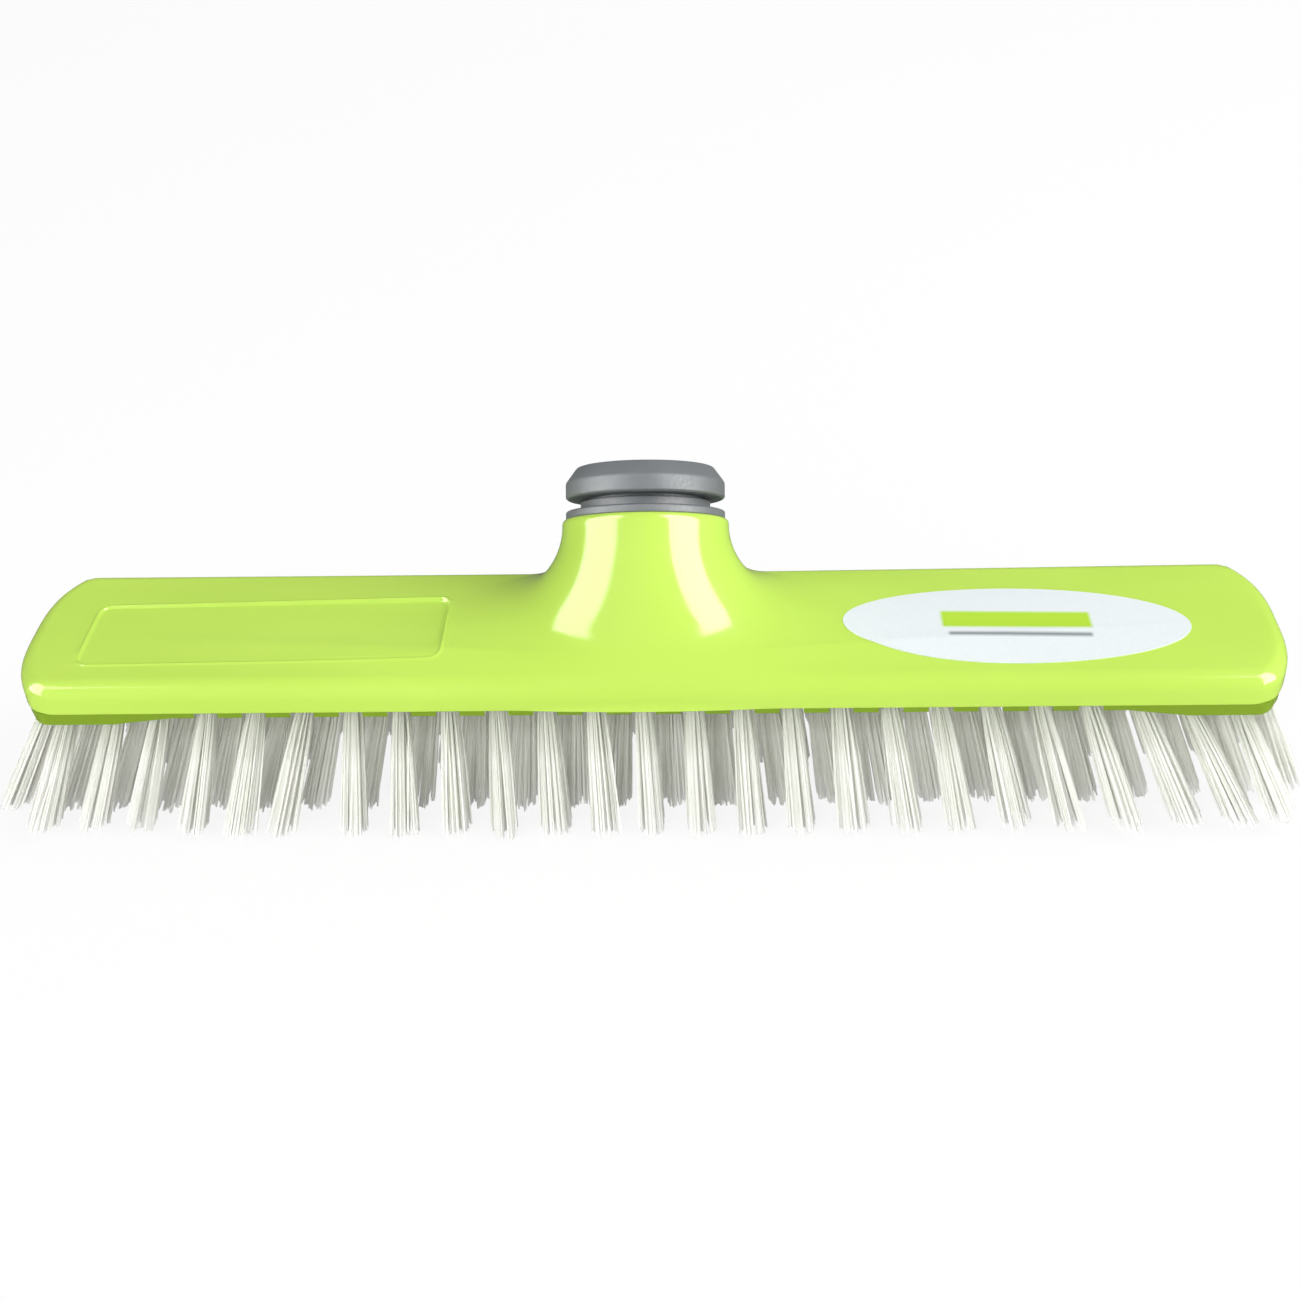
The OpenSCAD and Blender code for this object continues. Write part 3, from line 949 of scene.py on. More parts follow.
    def edge_rings(self, core: np.ndarray, out: np.ndarray) -> np.ndarray:
        """Rings from the core outline over the rounded edge and down the side to the lip, each the
        core moved out along its directions, then settled on the skin.

        Args:
            core: The core outline.
            out: Its outward directions.

        Returns:
            Rings by points by 3.
        """
        flat = self.core_inset - self.block.edge
        bend = np.linspace(0, math.pi / 2, self.edge_points)
        offset = np.concatenate([[0.0, flat / 2], flat + self.block.edge * np.sin(bend)])
        drop = np.concatenate([[0.0, 0.0], self.block.edge * (1 - np.cos(bend))])
        xy = core[None] + offset[:, None, None] * out[None]
        top = self.block.top(xy[..., 0], xy[..., 1])
        rings = np.concatenate([xy, (top - drop[:, None])[..., None]], axis=-1)
        rings[1:] = self.settle(rings[1:])
        edge_z = rings[-1, :, 2]
        wall_z = np.linspace(0, 1, self.wall_rows + 1)[1:, None] \
            * (self.neck.lip_z + self.lip_round - edge_z) + edge_z
        xy = np.broadcast_to(core + self.core_inset * out, (self.wall_rows, len(core), 2))
        wall = self.settle(np.concatenate([xy, wall_z[..., None]], axis=-1), level=True)
        return np.concatenate([rings, wall])

    def underside(self, lip: np.ndarray, core: np.ndarray, out: np.ndarray) -> np.ndarray:
        """Rings from the lip's rounded edge across the lip and up the inner wall to the roof.

        Args:
            lip: The lowest ring of the side.
            core: The core outline.
            out: Its outward directions.

        Returns:
            Rings by points by 3.
        """
        z = self.neck.lip_z
        inner = core + (self.core_inset - self.skirt) * out
        cut = self.lip_round * self.lip_cut
        rounded = [np.concatenate([lip[:, :2] - step * out, np.full((len(lip), 1), z + rise)], axis=-1)
                   for step, rise in ((cut, cut), (self.lip_round, 0.0))]
        wall = [np.concatenate([inner, np.full((len(lip), 1), level)], axis=-1) for level in (z, self.roof_z)]
        return np.stack([lip] + rounded + wall)

    def neck_rings(self, angles: np.ndarray) -> np.ndarray:
        """Rings from the rounded rim inwards, down the two-step bore and in to its middle.

        Args:
            angles: The angles of the rings' points about the neck's axis.

        Returns:
            Rings by points by 3.
        """
        top, r, b = self.neck.length, self.neck.radius, self.rim_round
        bend = np.linspace(0, math.pi / 2, 5)
        steps = [(top - b + b * math.sin(a), r - b + b * math.cos(a)) for a in bend]
        steps += [(top, self.sleeve_bore + self.mouth_cut), (top - self.mouth_cut, self.sleeve_bore),
                  (self.sleeve_end, self.sleeve_bore), (self.sleeve_end, self.spigot_bore),
                  (self.spigot_end, self.spigot_bore), (self.spigot_end, 0.0)]
        return np.stack([self.neck.ring(along, radius, angles) for along, radius in steps])

    def foot(self, border: np.ndarray, rim: np.ndarray, steps: int = 64) -> np.ndarray:
        """The skin between the middle's border and the neck's rim: straight lines bent in along the
        axis, settled on the skin, then evened out and settled again.

        Args:
            border: Points round the middle of the block, on its top.
            rim: As many points round the rim.
            steps: How many rows of faces.

        Returns:
            Rows by points by 3, from the border to the rim.
        """
        share = np.linspace(0, 1, steps + 1)[:, None, None]
        base = self.neck.axis_point(self.foot_start)
        foot = base + (rim - self.neck.axis_point(self.neck.length - self.rim_round)) * self.foot_swell
        foot = foot + (border - foot) * self.foot_pull
        rows = (1 - share) ** 2 * border + 2 * share * (1 - share) * foot + share ** 2 * rim
        rows = self.settle(rows, self.foot_rounds[0])
        ahead, own, beside = self.even_shares
        for _ in range(self.evenings):
            even = rows.copy()
            even[1:-1] = (rows[:-2] + rows[2:]) * ahead + rows[1:-1] * own \
                + (np.roll(rows[1:-1], 1, axis=1) + np.roll(rows[1:-1], -1, axis=1)) * beside
            rows = even
            rows[1:-1] = self.settle(rows[1:-1], 1)
        rows[1:-1] = self.settle(rows[1:-1], self.foot_rounds[1])
        return rows

    def build(self) -> bpy.types.Object:
        """Build the whole cover as one closed mesh.

        Returns:
            The cover's object.
        """
        across, left, middle, right = self.lines()
        parts = MeshParts()
        core, out = self.outline(across, left, middle, right)
        rings = self.edge_rings(core, out)
        rings[0] = self.settle(rings[0])
        wings = [self.settle(self.wing(lines, across)) for lines in (left, right)]
        wings[0][..., 2] -= self.panel_drop(wings[0][..., 0], wings[0][..., 1])
        side = across[-1]
        edge = self.wing(middle, np.array([-side, side]))
        border = np.concatenate([wings[1][0], edge[::-1, 1][1:-1], wings[0][-1, ::-1], edge[:, 0][1:-1]])
        border = self.settle(border)
        far = len(across) + len(middle) - 2
        wings[1][0], wings[0][-1] = border[:len(across)], border[far:far + len(across)][::-1]
        upper = self.neck_rings(np.arctan2(border[:, 1] / side, border[:, 0] / self.middle))
        under = self.underside(rings[-1], core, out)
        # The roof closes on to a line along its middle
        roof = np.stack([under[-1], under[-1] * [self.roof_end, 0.0, 1.0]])
        for wing in wings:
            parts.add_grid(wing)
        for rows in (rings, self.foot(border, upper[0]), upper, under, roof):
            parts.add_grid(rows, close_columns=True)
        return parts.build("cover_shell", self.weld)


@dataclass
class SocketInsert:
    """The grey insert: a turned form with a flange, a groove, a ring with a fine undercut below it,
    a sloping nose, and a coarse female thread down its bore."""

    neck: NeckShape = field(default_factory=NeckShape)
    columns: int = 144
    ring: float = 19.3
    sleeve: float = 15.7
    spigot: float = 12.6
    sleeve_length: float = 9.6
    spigot_length: float = 3.6
    flange: float = 1.9
    groove: float = 2.8
    ring_width: float = 4.1
    nose: float = 3.7
    nose_radius: float = 16.6
    undercut: float = 0.7
    bore: float = 10.6
    bore_floor: float = 1.6
    thread_pitch: float = 4.2
    thread_depth: float = 1.1
    thread_steep: float = 4.2
    thread_flat: float = 1.7
    thread_mouth: tuple[float, float] = (0.3, 2.2)
    thread_foot: tuple[float, float] = (0.5, 2.0)
    bore_round: float = 0.1
    bore_corner: float = 0.6
    bore_rows: int = 120

    def profile(self) -> np.ndarray:
        """The turned outside, from the middle of its foot to the bore's mouth, as (radius, height)
        pairs, each corner a quarter turn about its own small radius.

        Returns:
            N by 2.
        """
        ring_z = self.flange + self.groove
        ring_top = ring_z + self.ring_width
        top = ring_top + self.nose
        foot = -self.sleeve_length - self.spigot_length
        corners = [
            ((0.0, foot), 0.0), ((self.spigot, foot), 0.4), ((self.spigot, -self.sleeve_length), 0.2),
            ((self.sleeve, -self.sleeve_length), 0.4), ((self.sleeve, 0.0), 0.2), ((self.ring, 0.0), 0.25),
            ((self.ring, self.flange - 0.1), 0.4), ((self.ring - 0.8, self.flange + 0.1), 0.3),
            ((self.sleeve, self.flange + 0.1), 0.5), ((self.sleeve, ring_z + 0.1 - self.undercut), 0.2),
            ((self.sleeve - 2.2, ring_z + 0.2 - self.undercut), 0.2),
            ((self.sleeve - 2.2, ring_z + 0.3), 0.2),
            ((self.ring - 0.5, ring_z + 0.2), 0.2), ((self.ring, ring_z + 0.6), 0.2),
            ((self.ring, ring_top), 0.5), ((self.nose_radius, top), 0.5), ((self.bore + 1.2, top), 0.4),
            ((self.bore + self.bore_round, top - 1.2), 0.0),
        ]
        places = np.array([c for c, _ in corners])
        radii = np.array([r for _, r in corners])
        turned = [places[:1]]
        for before, here, after, radius in zip(places, places[1:], places[2:], radii[1:]):
            start = here + (before - here) / np.linalg.norm(before - here) * radius
            stop = here + (after - here) / np.linalg.norm(after - here) * radius
            t = np.linspace(0, 1, 5)[:, None]
            turned.append((1 - t) ** 2 * start + 2 * t * (1 - t) * here + t ** 2 * stop)
        return np.concatenate(turned + [places[-1:]])

    def place(self, radius: np.ndarray, height: np.ndarray, angle: np.ndarray) -> np.ndarray:
        """Place turned points on the tilted neck.

        Args:
            radius: Distances from the neck's axis.
            height: Heights above its rim, along the axis.
            angle: Angles about it.

        Returns:
            The points, in the shape that the three give together, by 3.
        """
        across, deep, along = radius * np.cos(angle), radius * np.sin(angle), height + self.neck.length
        sine, cosine = math.sin(self.neck.tilt), math.cos(self.neck.tilt)
        return np.stack([across, along * sine + deep * cosine,
                         self.neck.lip_z + along * cosine - deep * sine], axis=-1)

    def build(self) -> bpy.types.Object:
        """Build the insert as one closed mesh: the turned outside, then the bore, whose radius
        swells by a rounded tooth that climbs one pitch for each turn.

        Returns:
            The insert's object.
        """
        angle = np.linspace(0, 2 * math.pi, self.columns, endpoint=False)
        outside = self.profile()
        top = outside[-1, 1]
        floor = -self.sleeve_length - self.spigot_length + self.bore_floor
        height = np.concatenate([np.linspace(top, floor + self.bore_corner, self.bore_rows), [floor]])
        turns = height[:, None] / self.thread_pitch - angle[None] / (2 * math.pi)
        tooth = np.clip(self.thread_flat - self.thread_steep * np.abs(turns % 1.0 - 0.5), 0.0, 1.0)
        fade = smooth_step(-height, *(depth - top for depth in self.thread_mouth)) \
            * smooth_step(height, *(floor + rise for rise in self.thread_foot))
        bore = self.bore + self.bore_round
        thread = bore + self.thread_depth * tooth * fade[:, None]
        parts = MeshParts()
        for radius, level in ((outside[:, :1], outside[:, 1:]), (thread, height[:, None]),
                              (np.array([[bore], [0.0]]), np.full((2, 1), floor))):
            parts.add_grid(self.place(radius, level, angle[None]), close_columns=True)
        return parts.build("socket_insert_turned")


@dataclass
class Label:
    """The oval label, draped on the cover's right wing: ellipses about its middle, from the skin up."""

    cover: Cover
    middle: tuple[float, float]
    half: tuple[float, float] = (40.7, 14.5)
    lift: float = 0.03
    thickness: float = 0.2
    cut_share: float = 0.998
    rings: int = 17
    columns: int = 160

    def sheet(self, reach: np.ndarray, lift: float) -> tuple[np.ndarray, np.ndarray]:
        """Ellipses about the label's middle, each a share of its size, on the cover's skin.

        Args:
            reach: The ellipses' shares, from 0 to 1.
            lift: How far above the skin they lie.

        Returns:
            Points, ellipses by columns by 3, and the map, which is -1 to 1 each way.
        """
        angle = np.linspace(0, 2 * math.pi, self.columns, endpoint=False)
        flat = reach[:, None, None] * unit(angle)
        x, y = (self.middle[k] + flat[..., k] * self.half[k] for k in (0, 1))
        return np.stack([x, y, self.cover.height(x, y) + lift], axis=-1), flat

    def build(self) -> bpy.types.Object:
        """Build the label as a thin closed sheet whose cut edge leans in a little.

        Returns:
            The label's object.
        """
        reach = np.linspace(0, 1, self.rings)
        below, flat = self.sheet(reach, self.lift)
        above, _ = self.sheet(reach[::-1] * self.cut_share, self.lift + self.thickness)
        parts = MeshParts()
        parts.add_grid(np.concatenate([below, above]), close_columns=True,
                       uv=np.concatenate([flat, flat[::-1]]))
        return parts.build("label_sheet")


# Outward lean of each front tuft in degrees, left to right, so that its tip shows where it does
# in the photograph
FRONT_FANS = (-21.0, -19.9, -17.9, -14.7, -14.9, -16.8, -5.7, -4.4, -2.4, -0.4, 0.4, 1.6, 1.5, 2.3,
              3.9, 5.1, 6.3, 10.0, 10.9, 14.2, 17.1, 20.1, 24.5, 27.5, 25.5)


@dataclass
class BristleRow:
    """One row of tufts, each strand its own thin tube from inside its hole to its trimmed tip.

    The row stands at y and leans by lean degrees about X, and its tufts fan out along X. In a
    tuft the strands lie on a sunflower pattern: each a golden angle on from the last, at the
    square root of its share of the radius. All of a row's strands are worked out at once, as
    arrays of tufts by strands by rings by sides. A turn of 6.28 and the noise fields bound what
    the row's random numbers change from tuft to tuft and from strand to strand.
    """

    name: str
    y: float
    lean: float
    count: int
    seed: int
    outer: bool = False
    fans: tuple[float, ...] = ()
    strands: int = 120
    locks: int = 7
    pitch: float = 11.4
    last_x: float = 136.8
    left_fan: float = 27.0
    right_fan: float = 23.0
    left_rise: float = 0.5
    outer_rise: float = 1.5
    right_rise: float = 3.2
    rim_z: float = 32.9
    relief_z: float = 34.6
    relief_reach: float = 111.0
    ramp: float = 14.0
    hole: float = 1.8
    tip: float = 3.7
    lock_reach: float = 0.95
    opening: float = 0.6
    inside: float = 2.0
    thick: float = 0.25
    rows: int = 6
    sides: int = 3
    golden: float = 2.39996
    turn: float = 6.28
    fan_noise: float = 1.8
    lean_noise: float = 1.0
    trim_noise: float = 0.5
    angle_noise: float = 0.15
    tuft_spread: tuple[float, float] = (0.86, 1.14)
    strand_spread: float = 0.07
    strays: float = 0.05
    stray_reach: tuple[float, float] = (0.3, 1.5)
    tuft_twist: float = 0.12
    stray_twist: float = 0.8
    pull: tuple[float, float] = (0.1, 0.45)
    ragged: float = 0.65
    most_ragged: float = 3.0
    thick_noise: float = 0.06
    tone: tuple[float, float] = (0.55, 0.25)
    sharp: float = 70.0

    def tufts(self, rng: np.random.Generator) -> tuple[np.ndarray, np.ndarray, np.ndarray]:
        """Where the tufts stand: the outer rows' mouths are higher over the plate's relief, and the
        trimmed level rises with the square of x. A tuft's axes are its strands' way, -Z turned by
        the lean about X and then by the fan about Y, and the two ways across it.

        Args:
            rng: The row's random numbers.

        Returns:
            The mouths, tufts by 3; the axes, 3 by tufts by 3; and the trimmed levels, one a tuft.
        """
        x = (np.arange(self.count) - (self.count - 1) / 2) * self.pitch
        step = np.clip((self.relief_reach + self.ramp - np.abs(x)) / self.ramp, 0, 1) * self.outer
        z = self.rim_z + (self.relief_z - self.rim_z) * step
        out_by = np.array(self.fans) if self.fans else \
            np.where(x < 0, self.left_fan, self.right_fan) * x / self.last_x \
            + rng.normal(0, self.fan_noise, self.count)
        fan = -np.radians(out_by)
        lean = np.radians(self.lean + rng.normal(0, self.lean_noise, self.count))
        down = np.stack([-np.sin(fan) * np.cos(lean), np.sin(lean), -np.cos(fan) * np.cos(lean)], axis=-1)
        wide = np.stack([np.cos(fan), np.zeros(self.count), -np.sin(fan)], axis=-1)
        rise = np.where(x < 0, self.left_rise + self.outer_rise * self.outer, self.right_rise)
        trim = rise * (x / self.last_x) ** 2 + rng.uniform(0, self.trim_noise, self.count)
        mouth = np.stack([x, np.full(self.count, self.y), z], axis=-1)
        return mouth, np.stack([down, wide, np.cross(down, wide)]), trim

    def ends(self, rng: np.random.Generator) -> tuple[np.ndarray, np.ndarray]:
        """Where the strands lie across their tuft: on the same sunflower at the hole and, wider, at
        the tip. A few stray, and the tips draw together into locks, each to the nearest.

        Args:
            rng: The row's random numbers.

        Returns:
            The places at the hole and at the tip, tufts by strands by 2 each.
        """
        shape = (self.count, self.strands)
        k = np.arange(self.strands) + 0.5
        share = np.sqrt(k / self.strands)
        angle = k * self.golden + rng.uniform(0, self.turn, (self.count, 1)) \
            + rng.normal(0, self.angle_noise, shape)
        spread = self.tip * share * rng.uniform(*self.tuft_spread, (self.count, 1))
        spread = spread * rng.normal(1.0, self.strand_spread, shape)
        stray = rng.random(shape) < self.strays
        spread = spread + stray * rng.uniform(*self.stray_reach, shape)
        twist = rng.normal(0, self.tuft_twist, (self.count, 1))
        twist = twist + stray * rng.normal(0, self.stray_twist, shape)
        tip = unit(angle + twist) * spread[..., None]
        m = np.arange(self.locks) + 0.5
        lock_angle = m * self.golden + rng.uniform(0, self.turn, (self.count, 1))
        lock = (self.tip * self.lock_reach * np.sqrt(m / self.locks))[None, :, None] * unit(lock_angle)
        near = np.linalg.norm(tip[:, :, None] - lock[:, None], axis=-1).argmin(axis=-1)
        pull = np.take_along_axis(lock, near[..., None], axis=1) - tip
        return unit(angle) * (self.hole * share)[:, None], \
            tip + pull * rng.uniform(*self.pull, (self.count, 1, 1))

    def tubes(self, rng: np.random.Generator) -> tuple[np.ndarray, np.ndarray]:
        """The strands' rings. A strand starts inside its hole and opens as a power of its height, so
        it splays where it leaves the plate. It is as long as brings its tip to the tuft's trimmed
        level, whichever way it leans, less its own ragged share.

        Args:
            rng: The row's random numbers.

        Returns:
            Points, tufts by strands by rings by sides by 3, and each ring's share of the way down.
        """
        mouth, (down, wide, deep), trim = self.tufts(rng)
        root, tip = self.ends(rng)
        shape = tip.shape[:2]
        share = np.linspace(0, 1, self.rows)
        ragged = np.minimum(rng.exponential(self.ragged, shape), self.most_ragged)
        lift = tip[..., 0] * wide[:, None, 2] + tip[..., 1] * deep[:, None, 2]
        reach = ((mouth[:, None, 2] + lift - trim[:, None] - ragged) / -down[:, None, 2])[..., None]
        travel = -self.inside + share * (reach + self.inside)
        opened = (np.clip(travel / reach, 0, 1) ** self.opening)[..., None]
        side = root[:, :, None] * (1 - opened) + tip[:, :, None] * opened
        down, wide, deep = (axis[:, None, None] for axis in (down, wide, deep))
        line = mouth[:, None, None] + travel[..., None] * down + side[..., :1] * wide + side[..., 1:] * deep
        around = np.linspace(0, 2 * math.pi, self.sides, endpoint=False) \
            + rng.uniform(0, self.turn, shape + (1, 1))
        ring = unit(around) * (self.thick * rng.normal(1.0, self.thick_noise, shape))[..., None, None, None]
        points = line[..., None, :] + ring[..., :1] * wide[..., None, :] + ring[..., 1:] * deep[..., None, :]
        points[..., 2] = np.maximum(points[..., 2], 0.0)
        return points, share[:, None]

    def build(self) -> bpy.types.Object:
        """Join each strand's rings into a closed tube, and map it by a number for its tone and by
        its share of the way down.

        Returns:
            The row's object.
        """
        rng = np.random.default_rng(self.seed)
        points, share = self.tubes(rng)
        index = np.arange(points[..., 0].size).reshape(points.shape[:-1])
        onward = np.roll(index, -1, axis=-1)
        quads = np.stack([index[:, :, :-1], onward[:, :, :-1], onward[:, :, 1:], index[:, :, 1:]], axis=-1)
        faces = [quads.reshape(-1, 4), index[:, :, 0, ::-1].reshape(-1, self.sides),
                 index[:, :, -1].reshape(-1, self.sides)]
        tone = np.clip(rng.normal(*self.tone, points.shape[:2]), 0, 1)[..., None, None]
        maps = np.stack(np.broadcast_arrays(tone, share, index)[:2], axis=-1)
        return make_object(self.name + "_bristles", points.reshape(-1, 3),
                           [face for part in faces for face in part.tolist()], maps.reshape(-1, 2),
                           self.sharp)


TUFT_ROWS = (
    BristleRow("front", -20.4, -9.0, 25, seed=11, outer=True, fans=FRONT_FANS),
    BristleRow("front_inner", -10.2, -8.0, 26, seed=12),
    BristleRow("middle", 0.0, 0.0, 25, seed=13),
    BristleRow("rear_inner", 10.2, 8.0, 26, seed=14),
    BristleRow("rear", 20.4, 9.0, 25, seed=15, outer=True),
)


# ---------------------------------------------------------------------------------- camera, light


@dataclass
class PhotoCamera:
    """The photograph's camera: aimed by its own angles, with no shift. On a miss, search gives the
    nearest and farthest metres along the ray and how many places between them are tried."""

    focal_px: float = 1750.0
    frame_px: float = 1300.0
    sensor: float = 36.0
    elevation: float = math.radians(36.3)
    yaw: float = math.radians(3.15)
    roll: float = math.radians(-2.45)
    place: tuple[float, float, float] = (19.57, -341.52, 286.52)
    clip: tuple[float, float] = (0.01, 20.0)
    search: tuple[float, float, int] = (0.3, 0.7, 401)

    def axes(self) -> np.ndarray:
        """The camera's own axes: level ones turned by the roll.

        Returns:
            Its right, up and back, as rows.
        """
        e, w = self.elevation, self.yaw
        back = np.array([math.sin(w) * math.cos(e), -math.cos(w) * math.cos(e), math.sin(e)])
        right = np.array([math.cos(w), math.sin(w), 0.0])
        up = np.cross(back, right)
        c, s = math.cos(self.roll), math.sin(self.roll)
        return np.array([c * right + s * up, c * up - s * right, back])

    def lens(self) -> float:
        """The focal length in millimetres, from its length in the photograph's pixels."""
        return self.sensor * self.focal_px / self.frame_px

    def build(self) -> bpy.types.Object:
        """Make the scene's camera.

        Returns:
            The camera.
        """
        data = bpy.data.cameras.new("photo_camera")
        data.sensor_fit = "AUTO"
        data.sensor_width = self.sensor
        data.lens = self.lens()
        data.clip_start, data.clip_end = self.clip
        camera = add_object("photo_camera", data)
        camera.matrix_world = Matrix.Translation(Vector(self.place) * MM) @ \
            Matrix(self.axes().T.tolist()).to_4x4()
        bpy.context.scene.camera = camera
        return camera

    def project(self, points: np.ndarray) -> np.ndarray:
        """Where points show in the photograph's frame.

        Args:
            points: N by 3, in millimetres.

        Returns:
            Their x and y in the frame's pixels, N by 2.
        """
        seen = (points - np.array(self.place)) @ self.axes().T
        half = self.frame_px / 2
        return np.stack([half + self.focal_px * seen[:, 0] / -seen[:, 2],
                         half - self.focal_px * seen[:, 1] / -seen[:, 2]], axis=-1)

    def ray(self, x: float, y: float, shift: tuple[float, float] = (0.0, 0.0)) -> Vector:
        """The direction that shows at (x, y): (x - W/2 + shift_x L, H/2 - y + shift_y L,
        -L lens / sensor) in the camera's axes, L being the frame's long side.

        Args:
            x: Across the frame, in its pixels.
            y: Down the frame.
            shift: The camera's shift, which is none.

        Returns:
            The direction, of length 1.
        """
        half = self.frame_px / 2
        local = np.array([x - half + shift[0] * self.frame_px, half - y + shift[1] * self.frame_px,
                          -self.frame_px * self.lens() / self.sensor])
        return Vector(local @ self.axes()).normalized()

    def place_on(self, x: float, y: float, carrier: bpy.types.Object) -> Vector:
        """Find the place on a finished piece that shows at (x, y); a miss takes the nearest place.

        Args:
            x: Across the frame, in its pixels.
            y: Down the frame.
            carrier: The piece, as finished and placed.

        Returns:
            The place, in millimetres.
        """
        tree = BVHTree.FromObject(carrier, bpy.context.evaluated_depsgraph_get())
        eye, way = Vector(self.place) * MM, self.ray(x, y)
        hit = tree.ray_cast(eye, way)[0]
        if hit is None:
            near = [tree.find_nearest(eye + way * float(reach)) for reach in np.linspace(*self.search)]
            hit = min(near, key=lambda found: found[3])[0]
        return hit / MM


@dataclass(frozen=True)
class Panel:
    """A tall soft panel that stands beside the object and leans over it, in metres.

    Its bearing is its direction from the object in degrees, from -Y towards +X. Foot and head say
    how far its lower and upper edges are from the upright through the object, height how high the
    upper edge is. A glow of 1 is white. A card only shows in glossy surfaces, as a reflector card
    does; any other panel only lights.
    """

    name: str
    bearing: float
    foot: float
    head: float
    height: float
    width: float
    glow: float
    card: bool = False

    def build(self) -> bpy.types.Object:
        """Make the panel's lamp.

        Returns:
            The lamp.
        """
        bearing = math.radians(self.bearing)
        way = Vector((math.sin(bearing), -math.cos(bearing), 0.0))
        low, high = way * self.foot, way * self.head + Vector((0, 0, self.height))
        rise = (high - low).normalized()
        right = rise.cross(way).normalized()
        data = bpy.data.lights.new(self.name, "AREA")
        data.shape = "RECTANGLE"
        data.size, data.size_y = self.width, (high - low).length
        data.energy = self.glow * math.pi * data.size * data.size_y
        lamp = add_object(self.name, data)
        lamp.matrix_world = Matrix.Translation((low + high) / 2) @ \
            Matrix([right, rise, right.cross(rise)]).transposed().to_4x4()
        lamp.visible_diffuse, lamp.visible_glossy = not self.card, self.card
        return lamp


@dataclass
class Studio:
    """A pale floor, a white surround, three soft lamps, the two reflector cards whose images run
    down the neck, and a lamp for the bristles alone."""

    floor_size: float = 8.0
    floor_paint: float = 0.9
    floor_white: float = 0.88
    floor_glow: float = 0.12
    surround: float = 0.06
    surround_gloss: float = 0.15
    panels: tuple[Panel, ...] = (
        Panel("side_panel", 88.0, 1.2, 0.6, 1.6, 1.0, 3.6),
        Panel("front_panel", -35.0, 1.5, 0.9, 1.5, 1.4, 2.8),
        Panel("rear_panel", 180.0, 1.6, 0.3, 1.7, 1.6, 0.7),
        Panel("left_card", -71.0, 1.2, 0.94, 1.65, 0.95, 9.0, card=True),
        Panel("right_card", 66.0, 1.2, 0.94, 1.85, 0.85, 12.0, card=True),
    )
    bristle_panel: Panel = Panel("bristle_panel", -20.0, 1.6, 1.6, 1.2, 2.0, 1.75)

    def build_floor(self) -> bpy.types.Object:
        """Make the floor: a white lit table that keeps the object's shadow. It glows a little from
        below, and the camera sees it lifted nearly to white.

        Returns:
            The floor.
        """
        half = self.floor_size / 2 / MM
        corners = np.array([[-half, -half, 0], [half, -half, 0], [half, half, 0], [-half, half, 0]])
        floor = make_object("studio_floor", corners, [[0, 1, 2, 3]], closed=False)
        material, tree = new_material("studio_table")
        seen = add_node(tree, "LightPath").outputs["Is Camera Ray"]
        share = add_node(tree, "MapRange", {"To Min": self.floor_glow, "To Max": self.floor_white},
                         Value=seen)
        paint = add_node(tree, "BsdfDiffuse", {"Color": (self.floor_paint,) * 3 + (1.0,)})
        mixed = add_node(tree, "MixShader", Fac=share, in1=paint, in2=add_node(tree, "Emission"))
        add_node(tree, "OutputMaterial", Surface=mixed)
        floor.data.materials.append(material)
        floor.visible_glossy = False
        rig.stage(floor)
        return floor

    def build_world(self) -> None:
        """White for the camera, an even grey as light and a brighter one for reflections."""
        world = bpy.data.worlds.new("studio_world")
        bpy.context.scene.world = world
        world.use_nodes = True
        tree = world.node_tree
        tree.nodes.clear()
        path = add_node(tree, "LightPath").outputs
        dim = add_node(tree, "MapRange", {"To Min": self.surround, "To Max": self.surround_gloss},
                       Value=path["Is Glossy Ray"])
        level = add_node(tree, "MapRange", Value=path["Is Camera Ray"], To_Min=dim)
        light = add_node(tree, "Background", {"Color": (1, 1, 1, 1)}, Strength=level)
        add_node(tree, "OutputWorld", Surface=light)

    def build(self) -> bpy.types.Object:
        """Build the floor, the surround, the lamps and the cards.

        Returns:
            The floor.
        """
        floor = self.build_floor()
        self.build_world()
        for panel in self.panels:
            panel.build()
        return floor

    def lift(self, bristles: list[bpy.types.Object], floor: bpy.types.Object) -> None:
        """Add the soft front lamp that only the bristles receive and only the floor shades. It stands
        for the light that passes from strand to strand, which a render's few bounces lose.

        Args:
            bristles: The bristle rows.
            floor: The floor.
        """
        lamp = self.bristle_panel.build()
        for part, things in (("receiver", bristles), ("blocker", [floor])):
            group = bpy.data.collections.new("bristle_panel_" + part)
            for thing in things:
                group.objects.link(thing)
            setattr(lamp.light_linking, part + "_collection", group)


# ---------------------------------------------------------------------------------- image points


class Side(Enum):
    """Which of the vertices in a window counts as the point."""

    LEFT = (0, 1)
    RIGHT = (0, -1)
    TOP = (1, 1)
    BOTTOM = (1, -1)
    NEAR = (-1, 0)


@dataclass(frozen=True)
class ImagePoint:
    """A named place in the photograph, 1300 by 1300, and how the finished model shows it."""

    name: str
    x: float | None
    y: float | None
    side: Side
    pieces: tuple[str, ...]
    window: tuple[float, float, float, float] = (-50.0, -50.0, 1350.0, 1350.0)
    place: tuple[float, float, float] | None = None


COVER, INSERT, LABEL = ("cover_shell",), ("socket_insert_turned",), ("label_sheet",)
BRISTLES = tuple(row.name + "_bristles" for row in TUFT_ROWS)

